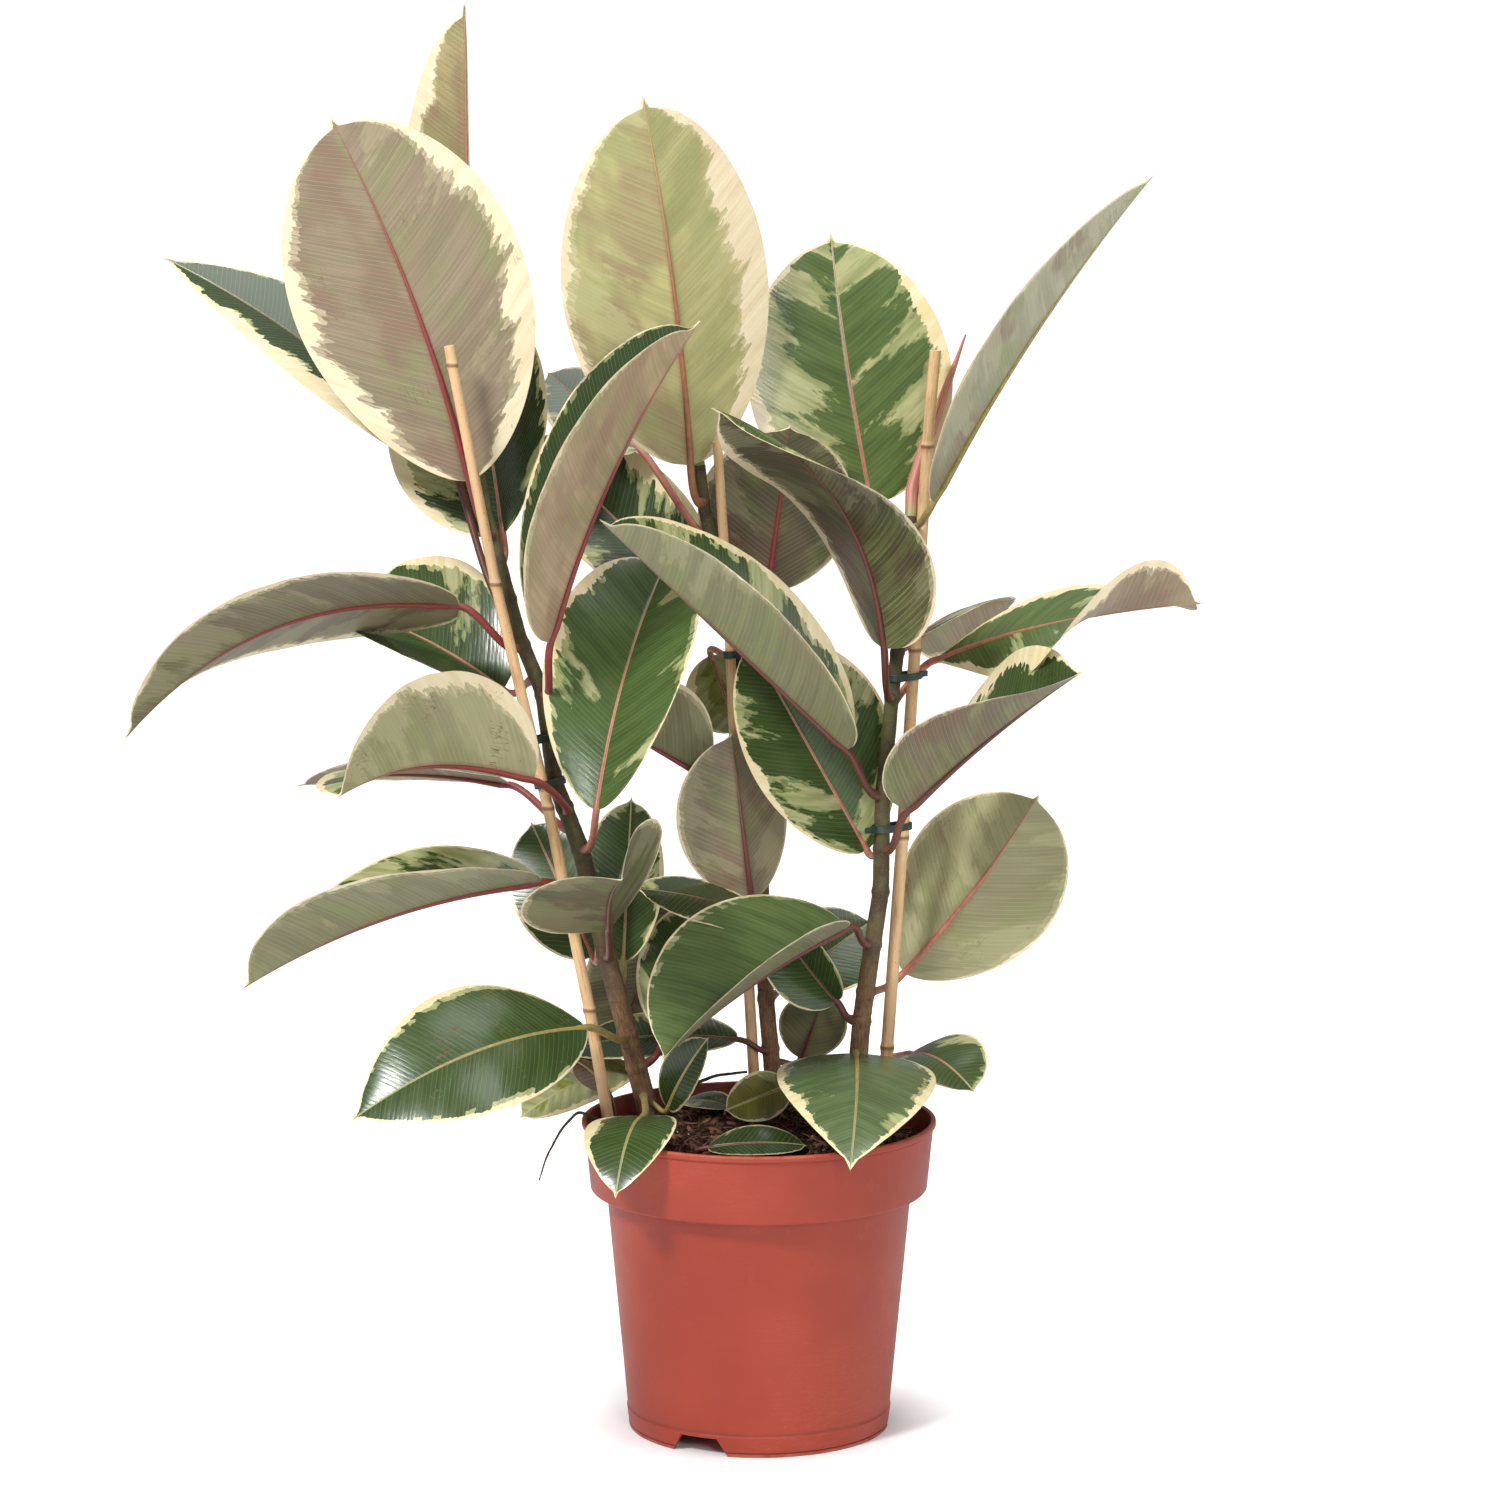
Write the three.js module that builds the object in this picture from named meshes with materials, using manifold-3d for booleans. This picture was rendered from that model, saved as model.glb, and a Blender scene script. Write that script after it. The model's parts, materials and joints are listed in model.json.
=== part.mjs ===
// Potted variegated rubber plant: three stems in a plastic nursery pot, each tied to a bamboo cane.
// Units are millimetres and +Z is up. The plant is laid out in a frame whose Z axis is the pot's
// axis, with the front of the plant towards -Y. One shift at the end puts the origin under the
// middle of the whole plant, on the surface that the pot stands on.

import * as THREE from 'three';
import { mergeVertices } from 'three/addons/utils/BufferGeometryUtils.js';
import Module from 'manifold-3d';

const wasm = await Module();
wasm.setup();

// Driving dimensions of the whole.
const PLANT_SHIFT = [64, -1, 0]; // from the pot's axis to the middle of the plant
const GAP = 0.3; // clearance between pieces that touch on the real plant

// Driving dimensions of the pot.
const POT = {
  sides: 36,
  height: 212,
  lipRadius: 120,
  lipHeight: 4,
  bandTopRadius: 118.2,
  bandBottomRadius: 114,
  bandBottom: 164,
  bodyTopRadius: 103.2,
  bodyBottomRadius: 89.4,
  footTopRadius: 90,
  footTop: 14,
  footRadius: 88.5,
  footWidth: 2.4,
  wall: 1.8,
  basePanel: 12.5,
  basePanelThickness: 2.6,
  edge: 1, // small slopes where one stretch of the moulding turns into the next
  step: 0.8, // height of the step above the foot
  collar: 1.5, // how far the fillet under the band stands out
};
const NOTCH = { count: 3, firstAngle: -117, topWidth: 27, bottomWidth: 42, height: 12, depth: 15 };
const DRAIN = { count: 6, ringRadius: 52, radius: 4.5, sides: 10, depth: 20 };

// Driving dimensions of the potting soil.
const SOIL = {
  edgeHeight: 196,
  moundHeight: 11,
  moundSpread: 68,
  moundCentre: [-5, 22],
  lumpHeight: 1.6,
  lumpsAcross: 0.19, // radians of a lump for each mm along X
  lumpsBack: 0.23, // the same along Y
  topRings: [106, 92, 74, 54, 30],
  holeTop: 240,
  holeSides: 8,
};

// Thin dead roots and twigs that stick out of the soil: route by hand, and radius at both ends.
const ROOTS = [
  {
    route: [
      [-92, 8, 194], [-108, -4, 211], [-122, -12, 219], [-133, -18, 208], [-143, -22, 190],
      [-148, -24, 174],
    ],
    radius: [1.6, 0.8],
  },
  { route: [[-66, 62, 199], [-54, 66, 217], [-30, 70, 226], [-8, 68, 229]], radius: [1.6, 1] },
];

const ROOT_STEPS = 2; // stations to each stretch of a root's route
const ROOT_SIDES = 5;

// Each stem: its route by hand from the bottom of its hole in the soil to its tip, its radius at the
// soil and at the tip, its bud as points with a radius each, and the heights of the leaf scars,
// where the stem is a little thicker.
const STEMS = {
  left: {
    route: [
      [-70, 46, 168], [-76, 45, 207], [-90, 42, 262], [-104, 38, 317], [-121, 32, 391],
      [-138, 29, 437], [-146, 27, 499], [-161, 26, 536], [-173, 28, 582], [-184, 36, 622],
      [-189, 43, 650],
    ],
    radius: [7.6, 4],
    bud: [[-190, 45, 656, 3], [-192, 47, 665, 0.8]],
    scars: [238, 262, 317, 369, 391, 420, 497, 531, 562, 604],
  },
  middle: {
    route: [
      [14, 66, 168], [9, 65, 236], [5, 64, 281], [1, 62, 378], [-5, 60, 434], [-11, 58, 489],
      [-13, 56, 524], [-25, 54, 572], [-37, 52, 620], [-40, 53, 650],
    ],
    radius: [6.2, 4],
    bud: [[-40, 53, 656, 3], [-41, 54, 665, 0.8]],
    scars: [246, 281, 300, 316, 330, 428, 500, 515, 548, 600, 625],
  },
  right: {
    route: [
      [63, 31, 168], [66, 31, 221], [70, 32, 272], [76, 35, 314], [83, 36, 361], [84, 38, 424],
      [90, 40, 492], [98, 45, 560], [102, 53, 594], [103, 61, 614],
    ],
    radius: [7, 4],
    bud: [[104, 68, 632, 4.4], [113, 74, 662, 4.2], [127, 75, 700, 2.9], [140, 73, 737, 0.8]],
    scars: [243, 272, 292, 325, 361, 390, 427, 494, 524, 590],
  },
};

const SCAR = { reach: 2.5, swell: 1.12 }; // half height of a leaf scar, and its radius as a share
const STEM = { sides: 12, stationGap: 2.4, plainTop: 10 };

// Each bamboo cane: its route, with a joint of the bamboo at each inner point, and its end radii.
const CANES = {
  left: {
    route: [
      [-97, 24, 170], [-115, 20, 282], [-142, 13, 422], [-176, 8, 574], [-203, -4, 721],
      [-205, -5, 734],
    ],
    radius: [4.2, 3.4],
  },
  middle: {
    route: [[0, 64, 170], [-7, 60, 295], [-15, 52, 420], [-20, 45, 540], [-28, 41, 667]],
    radius: [4, 3.2],
  },
  right: {
    route: [
      [84, 44, 170], [88, 45, 251], [98, 50, 396], [106, 55, 524], [114, 61, 662], [119, 62, 727],
    ],
    radius: [4.4, 3.8],
  },
};

const CANE = { sides: 8, jointReach: 3, jointSwell: 1.14 };

// Plastic ties: stem, height, and the side that the square tail points to.
const TIES = [
  ['tie_1', 'left', 468, 1],
  ['tie_2', 'left', 438, -1],
  ['tie_3', 'middle', 522, -1],
  ['tie_4', 'right', 507, 1],
  ['tie_5', 'right', 404, -1],
];
const TIE = { height: 5, thickness: 1.2, clearance: 0.8, tailLength: 8, tailThickness: 2, tailRoot: 0.5 };
const TIE_STEPS = [6, 8]; // straight steps round the cane's end and round the stem's end

// The leaves. Each row holds: name, stem, height of its leaf scar, base of the blade, tip of the
// blade, half width, turn, bow, sway, fold on the left, fold on the right, and twist.
// Turn is how many degrees the upper face is rolled about the midrib from looking to the front.
// Bow and sway bend the midrib towards the upper face and towards the right-hand side, in mm.
// Fold is how many degrees each half rises towards the upper face, and twist is added to turn
// from the base to the tip. The last value, where a row has it, is the compass direction, in degrees
// from +X towards +Y, in which the petiole leaves its stem to pass a cane.
const LEAVES = [
  ['leaf_left_01', 'left', 604, [-194, 24, 642], [-283, 5, 885], 78, 180, 0, -8, 8, 8, 0],
  ['leaf_left_02', 'left', 645, [-196, 56, 676], [-197, 64, 959], 54, -147, 0, 0, 60, 60, 0],
  ['leaf_left_03', 'left', 562, [-208, 63, 646], [-409, 114, 788], 56, 57, 14, 0, 15, 15, 0, 165],
  ['leaf_left_04', 'left', 588, [-173, 49, 603], [-205, 152, 750], 72, -20, -5, 0, 20, 20, 0],
  ['leaf_left_05', 'left', 497, [-139, -5, 536], [-39, -30, 752], 62, -82, 10, 0, 50, 50, 0],
  ['leaf_left_06', 'left', 531, [-200, 10, 559], [-422, -30, 474], 65, 110, 32, 0, 8, 8, 0],
  ['leaf_left_07', 'left', 508, [-174, 60, 496], [-284, 145, 539], 60, 50, 10, 0, 38, 38, 0],
  ['leaf_left_08', 'left', 418, [-150, -22, 446], [-272, -130, 451], 71, 132, 18, 0, 38, 38, 0, -75],
  ['leaf_left_09', 'left', 405, [-170, 70, 429], [-316, 75, 428], 40, 110, 8, 0, 10, 10, 0],
  ['leaf_left_10', 'left', 365, [-148, 20, 370], [-344, -50, 310], 62, 86, 13, 0, 33, 33, 0, 178],
  ['leaf_left_11', 'left', 260, [-116, -10, 276], [-270, -80, 227], 52, 40, 20, 0, 8, 8, 0],
  ['leaf_left_12', 'left', 317, [-101, -10, 343], [-88, -150, 401], 62, -134, 6, 0, 26, 40, 0],
  ['leaf_left_13', 'left', 325, [-114, 75, 308], [-159, 125, 395], 36, 0, 0, 0, 10, 10, 0],
  ['leaf_left_14', 'left', 292, [-93, 62, 307], [-88, 100, 416], 34, 0, 0, 0, 20, 20, 0],
  ['leaf_left_15', 'middle', 300, [-60, 118, 337], [-103, 128, 232], 40, 180, 0, 0, 8, 8, 0],
  ['leaf_left_16', 'left', 391, [-109, -5, 423], [-62, 90, 583], 57, 0, 14, 1, 12, 12, 0],
  ['leaf_left_17', 'left', 220, [-79, 8, 226], [-93, -112, 183], 33, 25, 26, 0, 12, 12, 0],
  ['leaf_left_18', 'left', 228, [-87, 92, 227], [-165, 60, 198], 28, 60, 8, 0, 10, 10, 0],
  ['leaf_left_19', 'middle', 246, [-14, 57, 254], [-136, 108, 236], 24, 60, 8, 0, 10, 10, 0, -120],
  ['leaf_left_20', 'left', 213, [-62, 20, 214], [-34, -5, 268], 18, -40, 4, 0, 20, 20, 0],
  ['leaf_left_21', 'left', 238, [-65, 50, 261], [-43, 85, 346], 30, 0, 0, 0, 10, 10, 0],
  ['leaf_middle_01', 'middle', 625, [-46, 40, 651], [-77, 10, 898], 76, 198, 0, -4, 18, 18, 0],
  ['leaf_middle_02', 'middle', 600, [-81, 95, 657], [-146, 130, 708], 36, 40, 0, 0, 10, 10, 0],
  ['leaf_middle_03', 'middle', 548, [-34, 80, 548], [-158, 130, 664], 48, 25, 0, 0, 25, 25, 0],
  ['leaf_middle_04', 'middle', 500, [6, 72, 562], [21, 55, 677], 56, 190, 0, 0, 16, 16, 0],
  ['leaf_middle_05', 'middle', 515, [-33, 92, 516], [-14, 120, 457], 28, 0, 0, 0, 10, 10, 0],
  ['leaf_middle_06', 'middle', 428, [-37, 62, 437], [-115, 60, 481], 56, 125, 0, 0, 38, 38, 0],
  ['leaf_middle_07', 'middle', 330, [5, 43, 354], [-14, 38, 470], 43, 190, 0, 0, 10, 10, 0],
  ['leaf_middle_08', 'middle', 316, [-10, 24, 357], [-83, 2, 384], 31, 80, 8, 0, 30, 28, 0, -95],
  ['leaf_middle_09', 'middle', 235, [29, 90, 234], [46, 62, 286], 24, 180, 0, 0, 10, 10, 0],
  ['leaf_middle_10', 'middle', 281, [22, 92, 289], [79, 118, 326], 38, -40, 0, 0, 10, 10, 0],
  ['leaf_right_01', 'right', 494, [84, 12, 530], [-31, -60, 697], 60, 125, 28, 0, 6, 6, 0],
  ['leaf_right_02', 'right', 590, [96, 86, 622], [49, 108, 804], 66, 0, 0, -5, 8, 8, 0],
  ['leaf_right_03', 'right', 427, [59, 15, 461], [-104, -60, 624], 62, 76, 0, 0, 56, 56, 0],
  ['leaf_right_04', 'right', 385, [74, 54, 386], [-8, 42, 534], 60, 12, 0, 0, 8, 8, 0],
  ['leaf_right_05', 'right', 605, [117, 30, 627], [262, 10, 848], 50, -95, 7, 0, 35, 35, 0],
  ['leaf_right_06', 'right', 240, [104, 62, 243], [146, 0, 229], 32, -60, 10, 0, 15, 15, 0, 80],
  ['leaf_right_07', 'right', 490, [118, 72, 514], [294, -40, 567], 46, -58, 12, 0, 34, 34, -60, 75],
  ['leaf_right_08', 'right', 524, [108, 75, 530], [178, 120, 550], 40, -130, 10, 0, 15, 15, 0, 85],
  ['leaf_right_09', 'right', 325, [60, 14, 340], [-65, -72, 265], 65, 62, 8, 0, 49, 49, 0],
  ['leaf_right_10', 'right', 272, [53, 36, 285], [4, 38, 330], 40, 0, 5, 0, 20, 20, 0],
  ['leaf_right_11', 'right', 390, [100, 15, 419], [212, -60, 524], 55, -112, 8, 0, 42, 42, 25],
  ['leaf_right_12', 'right', 292, [100, 75, 297], [192, 70, 422], 62, 180, 0, 0, 10, 10, 0],
  ['leaf_right_13', 'right', 243, [66, 16, 253], [59, -140, 208], 54, 0, 16, 0, 5, 5, 0],
  ['leaf_olive', 'middle', 222, [21, 30, 228], [-23, -20, 221], 20, 20, 3, 0, 5, 5, 0],
];
const FALLEN_LEAVES = [
  ['fallen_leaf_front', [-34, -50, 202.4], [32, -48, 203.4], 19, -70, 5, 3, 12, 12, 0],
  ['fallen_leaf_back', [-20, 40, 209.8], [-52, 62, 209.8], 16, 80, 3, 0, 8, 8, 0],
];
// Dry leaf that still stands in the soil at the back left.
const DRY_LEAF = {
  root: [-98, 42, 196],
  values: [[-104, 46, 221], [-128, 44, 243], 12, -30, -4, 0, 25, 25, 0],
};
const BLADE = {
  thickness: 0.9,
  ribDepth: 2.2, // how far the midrib stands out below the blade at its base
  ribTip: 0.3, // the same at its tip
  curl: 0.06, // how far the margins turn down, as a share of the half width
  start: 0.035, // first and last station, as shares of the midrib's length
  end: 0.99,
  crowding: 0.4, // how strongly the stations crowd towards both ends
  stations: 8,
  across: [-1, -0.5, 0, 0.5, 1],
};
const OUTLINE = { bodyEnd: 0.965, squareness: 0.1, dripWidth: 0.1, dripStart: 0.9, dripLength: 0.07 };
const PETIOLE = { radius: 2.6, fullSizeHalf: 50, smallest: 0.3, reach: 14, reachShare: 0.45 };
const STUB = 9; // petiole left on a fallen leaf

// Materials, one for each kind of surface.
const finish = (color, roughness) => new THREE.MeshStandardMaterial({ color, roughness, metalness: 0 });
const MATERIALS = {
  pot: finish('#b04a38', 0.5),
  soil: finish('#3a251b', 0.95),
  stem: finish('#5d5a38', 0.6),
  cane: finish('#c89a63', 0.6),
  tie: finish('#2e4a3c', 0.5),
  leaf: finish('#5f8a57', 0.35),
};

const plant = new THREE.Group();

function addMesh(name, geometry, material) {
  const mesh = new THREE.Mesh(geometry, material);
  mesh.name = name;
  plant.add(mesh);
}

const UP = new THREE.Vector3(0, 0, 1);
const vec = (p) => new THREE.Vector3(...p);
const radians = THREE.MathUtils.degToRad;

// Closed solid through rings of equally many points, with a flat cap on the first and last ring.
function loft(rings) {
  const sides = rings[0].length;
  const positions = rings.flat().flatMap((p) => [p.x, p.y, p.z]);
  const faces = [];
  for (let i = 0; i + 1 < rings.length; i += 1) {
    for (let j = 0; j < sides; j += 1) {
      const k = (j + 1) % sides;
      const [a, b] = [i * sides + j, i * sides + k];
      faces.push(a, b, b + sides, a, b + sides, a + sides);
    }
  }
  const last = (rings.length - 1) * sides;
  for (let j = 1; j + 1 < sides; j += 1) {
    faces.push(0, j + 1, j);
    faces.push(last, last + j, last + j + 1);
  }
  const geometry = new THREE.BufferGeometry();
  geometry.setAttribute('position', new THREE.Float32BufferAttribute(positions, 3));
  geometry.setIndex(faces);
  return pointOutwards(geometry);
}

// Turns a closed geometry's faces outwards, judged by the sign of its volume.
function pointOutwards(geometry) {
  const [position, index] = [geometry.getAttribute('position'), geometry.getIndex()];
  const corner = (i) => new THREE.Vector3().fromBufferAttribute(position, index.getX(i));
  let volume = 0;
  for (let i = 0; i < index.count; i += 3) {
    volume += corner(i).dot(corner(i + 1).cross(corner(i + 2)));
  }
  if (volume < 0) index.array.reverse();
  return geometry;
}

// Conversion between three.js geometry and solids that can be joined and cut.
function toSolid(geometry) {
  const bare = new THREE.BufferGeometry();
  bare.setAttribute('position', geometry.getAttribute('position').clone());
  if (geometry.getIndex()) bare.setIndex(geometry.getIndex().clone());
  const merged = mergeVertices(bare, 1e-4);
  const faces = merged.getIndex().array;
  const kept = [];
  for (let i = 0; i < faces.length; i += 3) {
    const [a, b, c] = faces.slice(i, i + 3);
    if (a !== b && b !== c && c !== a) kept.push(a, b, c);
  }
  const mesh = new wasm.Mesh({
    numProp: 3,
    vertProperties: new Float32Array(merged.getAttribute('position').array),
    triVerts: new Uint32Array(kept),
  });
  return new wasm.Manifold(mesh);
}

function fromSolid(solid) {
  const mesh = solid.getMesh();
  const geometry = new THREE.BufferGeometry();
  geometry.setAttribute('position', new THREE.Float32BufferAttribute(mesh.vertProperties, 3));
  geometry.setIndex(new THREE.Uint32BufferAttribute(mesh.triVerts, 1));
  return geometry;
}

// Round tube along a list of stations, each with a centre and a radius.
function tube(stations, sides) {
  const centres = stations.map((station) => station.centre);
  const rings = stations.map(({ centre, radius }, i) => {
    const before = centres[Math.max(i - 1, 0)];
    const after = centres[Math.min(i + 1, centres.length - 1)];
    const along = after.clone().sub(before).normalize();
    const right = new THREE.Vector3(0, 1, 0).cross(along).normalize();
    const up = along.clone().cross(right);
    return Array.from({ length: sides }, (_, j) => {
      const angle = (2 * Math.PI * j) / sides;
      return centre.clone()
        .addScaledVector(right, radius * Math.cos(angle))
        .addScaledVector(up, radius * Math.sin(angle));
    });
  });
  return loft(rings);
}

// Point, direction and radius of a stem or cane at a height.
function makeRoute({ route, radius }) {
  const points = route.map(vec);
  const [low, high] = [points[0].z, points[points.length - 1].z];
  const at = (z) => {
    let i = 1;
    while (i < points.length - 1 && points[i].z < z) i += 1;
    const share = (z - points[i - 1].z) / (points[i].z - points[i - 1].z);
    return points[i - 1].clone().lerp(points[i], share);
  };
  const radiusAt = (z) => THREE.MathUtils.mapLinear(z, low, high, radius[0], radius[1]);
  return { low, high, at, radiusAt, heights: points.map((p) => p.z) };
}

const stems = Object.fromEntries(Object.entries(STEMS).map(([side, stem]) => [side, makeRoute(stem)]));
const canes = Object.fromEntries(Object.entries(CANES).map(([side, cane]) => [side, makeRoute(cane)]));

// Pot: one turned shell with a foot skirt, a raised base panel, a wide rim band and a lip.
function makePot() {
  const p = POT;
  const inner = p.basePanel + p.basePanelThickness;
  const profile = [
    [0, p.basePanel],
    [p.footRadius - p.footWidth - p.edge, p.basePanel],
    [p.footRadius - p.footWidth, 0],
    [p.footRadius, 0],
    [p.footTopRadius, p.footTop],
    [p.bodyBottomRadius, p.footTop + p.step],
    [p.bodyTopRadius, p.bandBottom - 2 * p.edge],
    [p.bodyTopRadius + p.collar, p.bandBottom - p.edge / 2],
    [p.bandBottomRadius - p.edge, p.bandBottom],
    [p.bandBottomRadius, p.bandBottom + p.edge],
    [p.bandTopRadius, p.height - p.lipHeight - p.edge],
    [p.lipRadius, p.height - p.lipHeight],
    [p.lipRadius, p.height - p.edge],
    [p.lipRadius - p.edge, p.height],
    [p.bandTopRadius - p.wall + p.edge / 2, p.height],
    [p.bandTopRadius - p.wall, p.height - p.edge],
    [p.bandBottomRadius - p.wall, p.bandBottom + p.wall + p.edge],
    [p.bodyTopRadius - p.wall, p.bandBottom + p.wall],
    [p.bodyBottomRadius - p.wall, inner + p.edge],
    [p.bodyBottomRadius - p.wall - p.edge, inner],
    [0, inner],
  ];
  let pot = toSolid(latheUp(profile));
  for (let i = 0; i < NOTCH.count; i += 1) {
    pot = pot.subtract(notchCutter(NOTCH.firstAngle + (360 / NOTCH.count) * i));
  }
  for (let i = 0; i < DRAIN.count; i += 1) {
    const angle = (2 * Math.PI * (i + 0.5)) / DRAIN.count;
    const hole = new THREE.CylinderGeometry(DRAIN.radius, DRAIN.radius, DRAIN.depth, DRAIN.sides);
    hole.rotateX(Math.PI / 2);
    hole.translate(DRAIN.ringRadius * Math.cos(angle), DRAIN.ringRadius * Math.sin(angle), inner);
    pot = pot.subtract(toSolid(hole));
  }
  return fromSolid(pot);
}

// A profile of [radius, height] pairs turned about +Z.
function latheUp(profile) {
  const lathe = new THREE.LatheGeometry(profile.map(([r, z]) => new THREE.Vector2(r, z)), POT.sides);
  lathe.rotateX(Math.PI / 2);
  return pointOutwards(lathe);
}

// Wedge that cuts one trapezoid notch through the foot skirt.
function notchCutter(degrees) {
  const shape = new THREE.Shape([
    new THREE.Vector2(-NOTCH.bottomWidth / 2, -POT.edge),
    new THREE.Vector2(NOTCH.bottomWidth / 2, -POT.edge),
    new THREE.Vector2(NOTCH.topWidth / 2, NOTCH.height),
    new THREE.Vector2(-NOTCH.topWidth / 2, NOTCH.height),
  ]);
  const cutter = new THREE.ExtrudeGeometry(shape, { depth: 2 * NOTCH.depth, bevelEnabled: false });
  cutter.rotateX(Math.PI / 2);
  cutter.translate(0, NOTCH.depth - POT.footRadius, 0);
  cutter.rotateZ(radians(degrees + 90));
  return toSolid(cutter);
}

// Height of the soil's surface, a low mound with lumps, on the line to a point.
function soilHeight(x, y) {
  const [cx, cy] = SOIL.moundCentre;
  const spread = ((x - cx) ** 2 + (y - cy) ** 2) / SOIL.moundSpread ** 2;
  const [across, back] = [x * SOIL.lumpsAcross, y * SOIL.lumpsBack];
  const lumps = Math.sin(across) * Math.cos(back) + 0.5 * Math.sin(2 * across + 1.5 * back);
  return SOIL.edgeHeight + SOIL.moundHeight * Math.exp(-spread) + SOIL.lumpHeight * lumps;
}

// Soil: fills the pot, has a plain hole for each stem and cane, and carries the old roots.
function makeSoil() {
  const p = POT;
  const inner = p.basePanel + p.basePanelThickness + GAP;
  const wall = p.wall + GAP;
  const bodyBottom = p.bodyBottomRadius - wall;
  const topRadius = THREE.MathUtils.mapLinear(
    SOIL.edgeHeight, p.bandBottom, p.height, p.bandBottomRadius, p.bandTopRadius) - wall;
  const profile = [
    [0, inner],
    [bodyBottom - p.edge, inner],
    [bodyBottom, inner + 1.5 * p.edge],
    [p.bodyTopRadius - wall, p.bandBottom + wall],
    [p.bandBottomRadius - wall - GAP, p.bandBottom + wall + p.edge + GAP],
    [topRadius - GAP, SOIL.edgeHeight - 3],
    ...SOIL.topRings.map((r) => [r, SOIL.edgeHeight]),
    [0, SOIL.edgeHeight],
  ];
  const block = latheUp(profile);
  const position = block.getAttribute('position');
  for (let i = 0; i < position.count; i += 1) {
    if (position.getZ(i) === SOIL.edgeHeight) {
      position.setZ(i, soilHeight(position.getX(i), position.getY(i)));
    }
  }
  let soil = toSolid(block);
  for (const route of [...Object.values(stems), ...Object.values(canes)]) {
    soil = soil.subtract(plantingHole(route));
  }
  for (const root of ROOTS) soil = soil.add(toSolid(makeRoot(root)));
  const dryLeaf = readLeaf(DRY_LEAF.values);
  soil = soil.add(toSolid(makeLeaf(dryLeaf, petioleFrom(vec(DRY_LEAF.root), UP, dryLeaf))));
  return fromSolid(soil);
}

// Hole a little wider and deeper than the foot of a stem or cane.
function plantingHole(route) {
  const radius = route.radiusAt(route.low) + 2 * GAP;
  const bends = route.heights.filter((z) => z > route.low && z < SOIL.holeTop);
  const heights = [route.low - GAP, ...bends, SOIL.holeTop];
  return toSolid(tube(heights.map((z) => ({ centre: route.at(z), radius })), SOIL.holeSides));
}

function makeRoot({ route, radius }) {
  const curve = new THREE.CatmullRomCurve3(route.map(vec));
  const steps = ROOT_STEPS * (route.length - 1);
  const stations = curve.getPoints(steps).map((centre, i) => ({
    centre,
    radius: THREE.MathUtils.lerp(radius[0], radius[1], i / steps),
  }));
  return tube(stations, ROOT_SIDES);
}

// Heights and radii along a stem, with a small step in radius at each leaf scar.
function stemProfile(side) {
  const route = stems[side];
  const plain = route.heights.slice(0, -1).map((z) => [z, 1]);
  const scars = STEMS[side].scars.flatMap((z) => [[z - SCAR.reach, SCAR.swell], [z + SCAR.reach, 1]]);
  const below = [...plain, ...scars].filter(([z]) => z < route.high - STEM.plainTop);
  const all = below.sort((a, b) => a[0] - b[0]);
  const apart = all.filter(([z], i) => i === 0 || z - all[i - 1][0] > STEM.stationGap);
  return [...apart, [route.high, 1]].map(([z, swell]) => [z, route.radiusAt(z) * swell]);
}

// Radius of a stem's surface at a height.
function surfaceRadius(profile, z) {
  let i = 1;
  while (i < profile.length - 1 && profile[i][0] < z) i += 1;
  const [[z0, r0], [z1, r1]] = [profile[i - 1], profile[i]];
  return THREE.MathUtils.mapLinear(Math.min(z, z1), z0, z1, r0, r1);
}

// Stem: leans and bends along its route, thickens at each leaf scar and ends in a pointed bud.
function makeStem(side) {
  const stations = stemProfile(side).map(([z, radius]) => ({ centre: stems[side].at(z), radius }));
  const bud = STEMS[side].bud.map(([x, y, z, radius]) => ({ centre: vec([x, y, z]), radius }));
  return tube([...stations, ...bud], STEM.sides);
}

// Cane: straight pieces between joints, each joint a low ring.
function makeCane(side) {
  const route = canes[side];
  const joints = route.heights.slice(1, -1);
  const rings = joints.flatMap((z) => [
    [z - CANE.jointReach, 1], [z, CANE.jointSwell], [z + CANE.jointReach, 1],
  ]);
  const stations = [[route.low, 1], ...rings, [route.high, 1]].map(([z, swell]) => ({
    centre: route.at(z),
    radius: route.radiusAt(z) * swell,
  }));
  return tube(stations, CANE.sides);
}

// Tie: an oval loop round a stem and its cane, with a square tail at one end.
function makeTie(side, height, tailSide) {
  const [stem, cane] = [stems[side].at(height), canes[side].at(height)];
  const radii = [stems[side].radiusAt(height), canes[side].radiusAt(height)];
  const apart = stem.distanceTo(cane);
  const inner = ovalPoints(apart, radii.map((r) => r + TIE.clearance));
  const outer = ovalPoints(apart, radii.map((r) => r + TIE.clearance + TIE.thickness));
  const shape = new THREE.Shape(outer);
  shape.holes.push(new THREE.Path(inner.reverse()));
  const loop = new THREE.ExtrudeGeometry(shape, { depth: TIE.height, bevelEnabled: false });
  const reach = TIE.clearance + TIE.thickness + TIE.tailLength / 2 - TIE.tailRoot;
  const tail = new THREE.BoxGeometry(TIE.tailLength, TIE.tailThickness, TIE.height);
  const tailX = tailSide > 0 ? apart + radii[1] + reach : -radii[0] - reach;
  tail.translate(tailX, 0, TIE.height / 2);
  const tie = fromSolid(toSolid(loop).add(toSolid(tail)));
  const across = cane.clone().sub(stem).normalize();
  const above = height + 4 * TIE.height;
  const climb = stems[side].at(above).add(canes[side].at(above)).sub(stem).sub(cane);
  const along = climb.addScaledVector(across, -climb.dot(across)).normalize();
  const placed = new THREE.Matrix4().makeBasis(across, along.clone().cross(across), along);
  tie.applyMatrix4(placed.setPosition(stem.clone().addScaledVector(along, -TIE.height / 2)));
  return tie;
}

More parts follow.
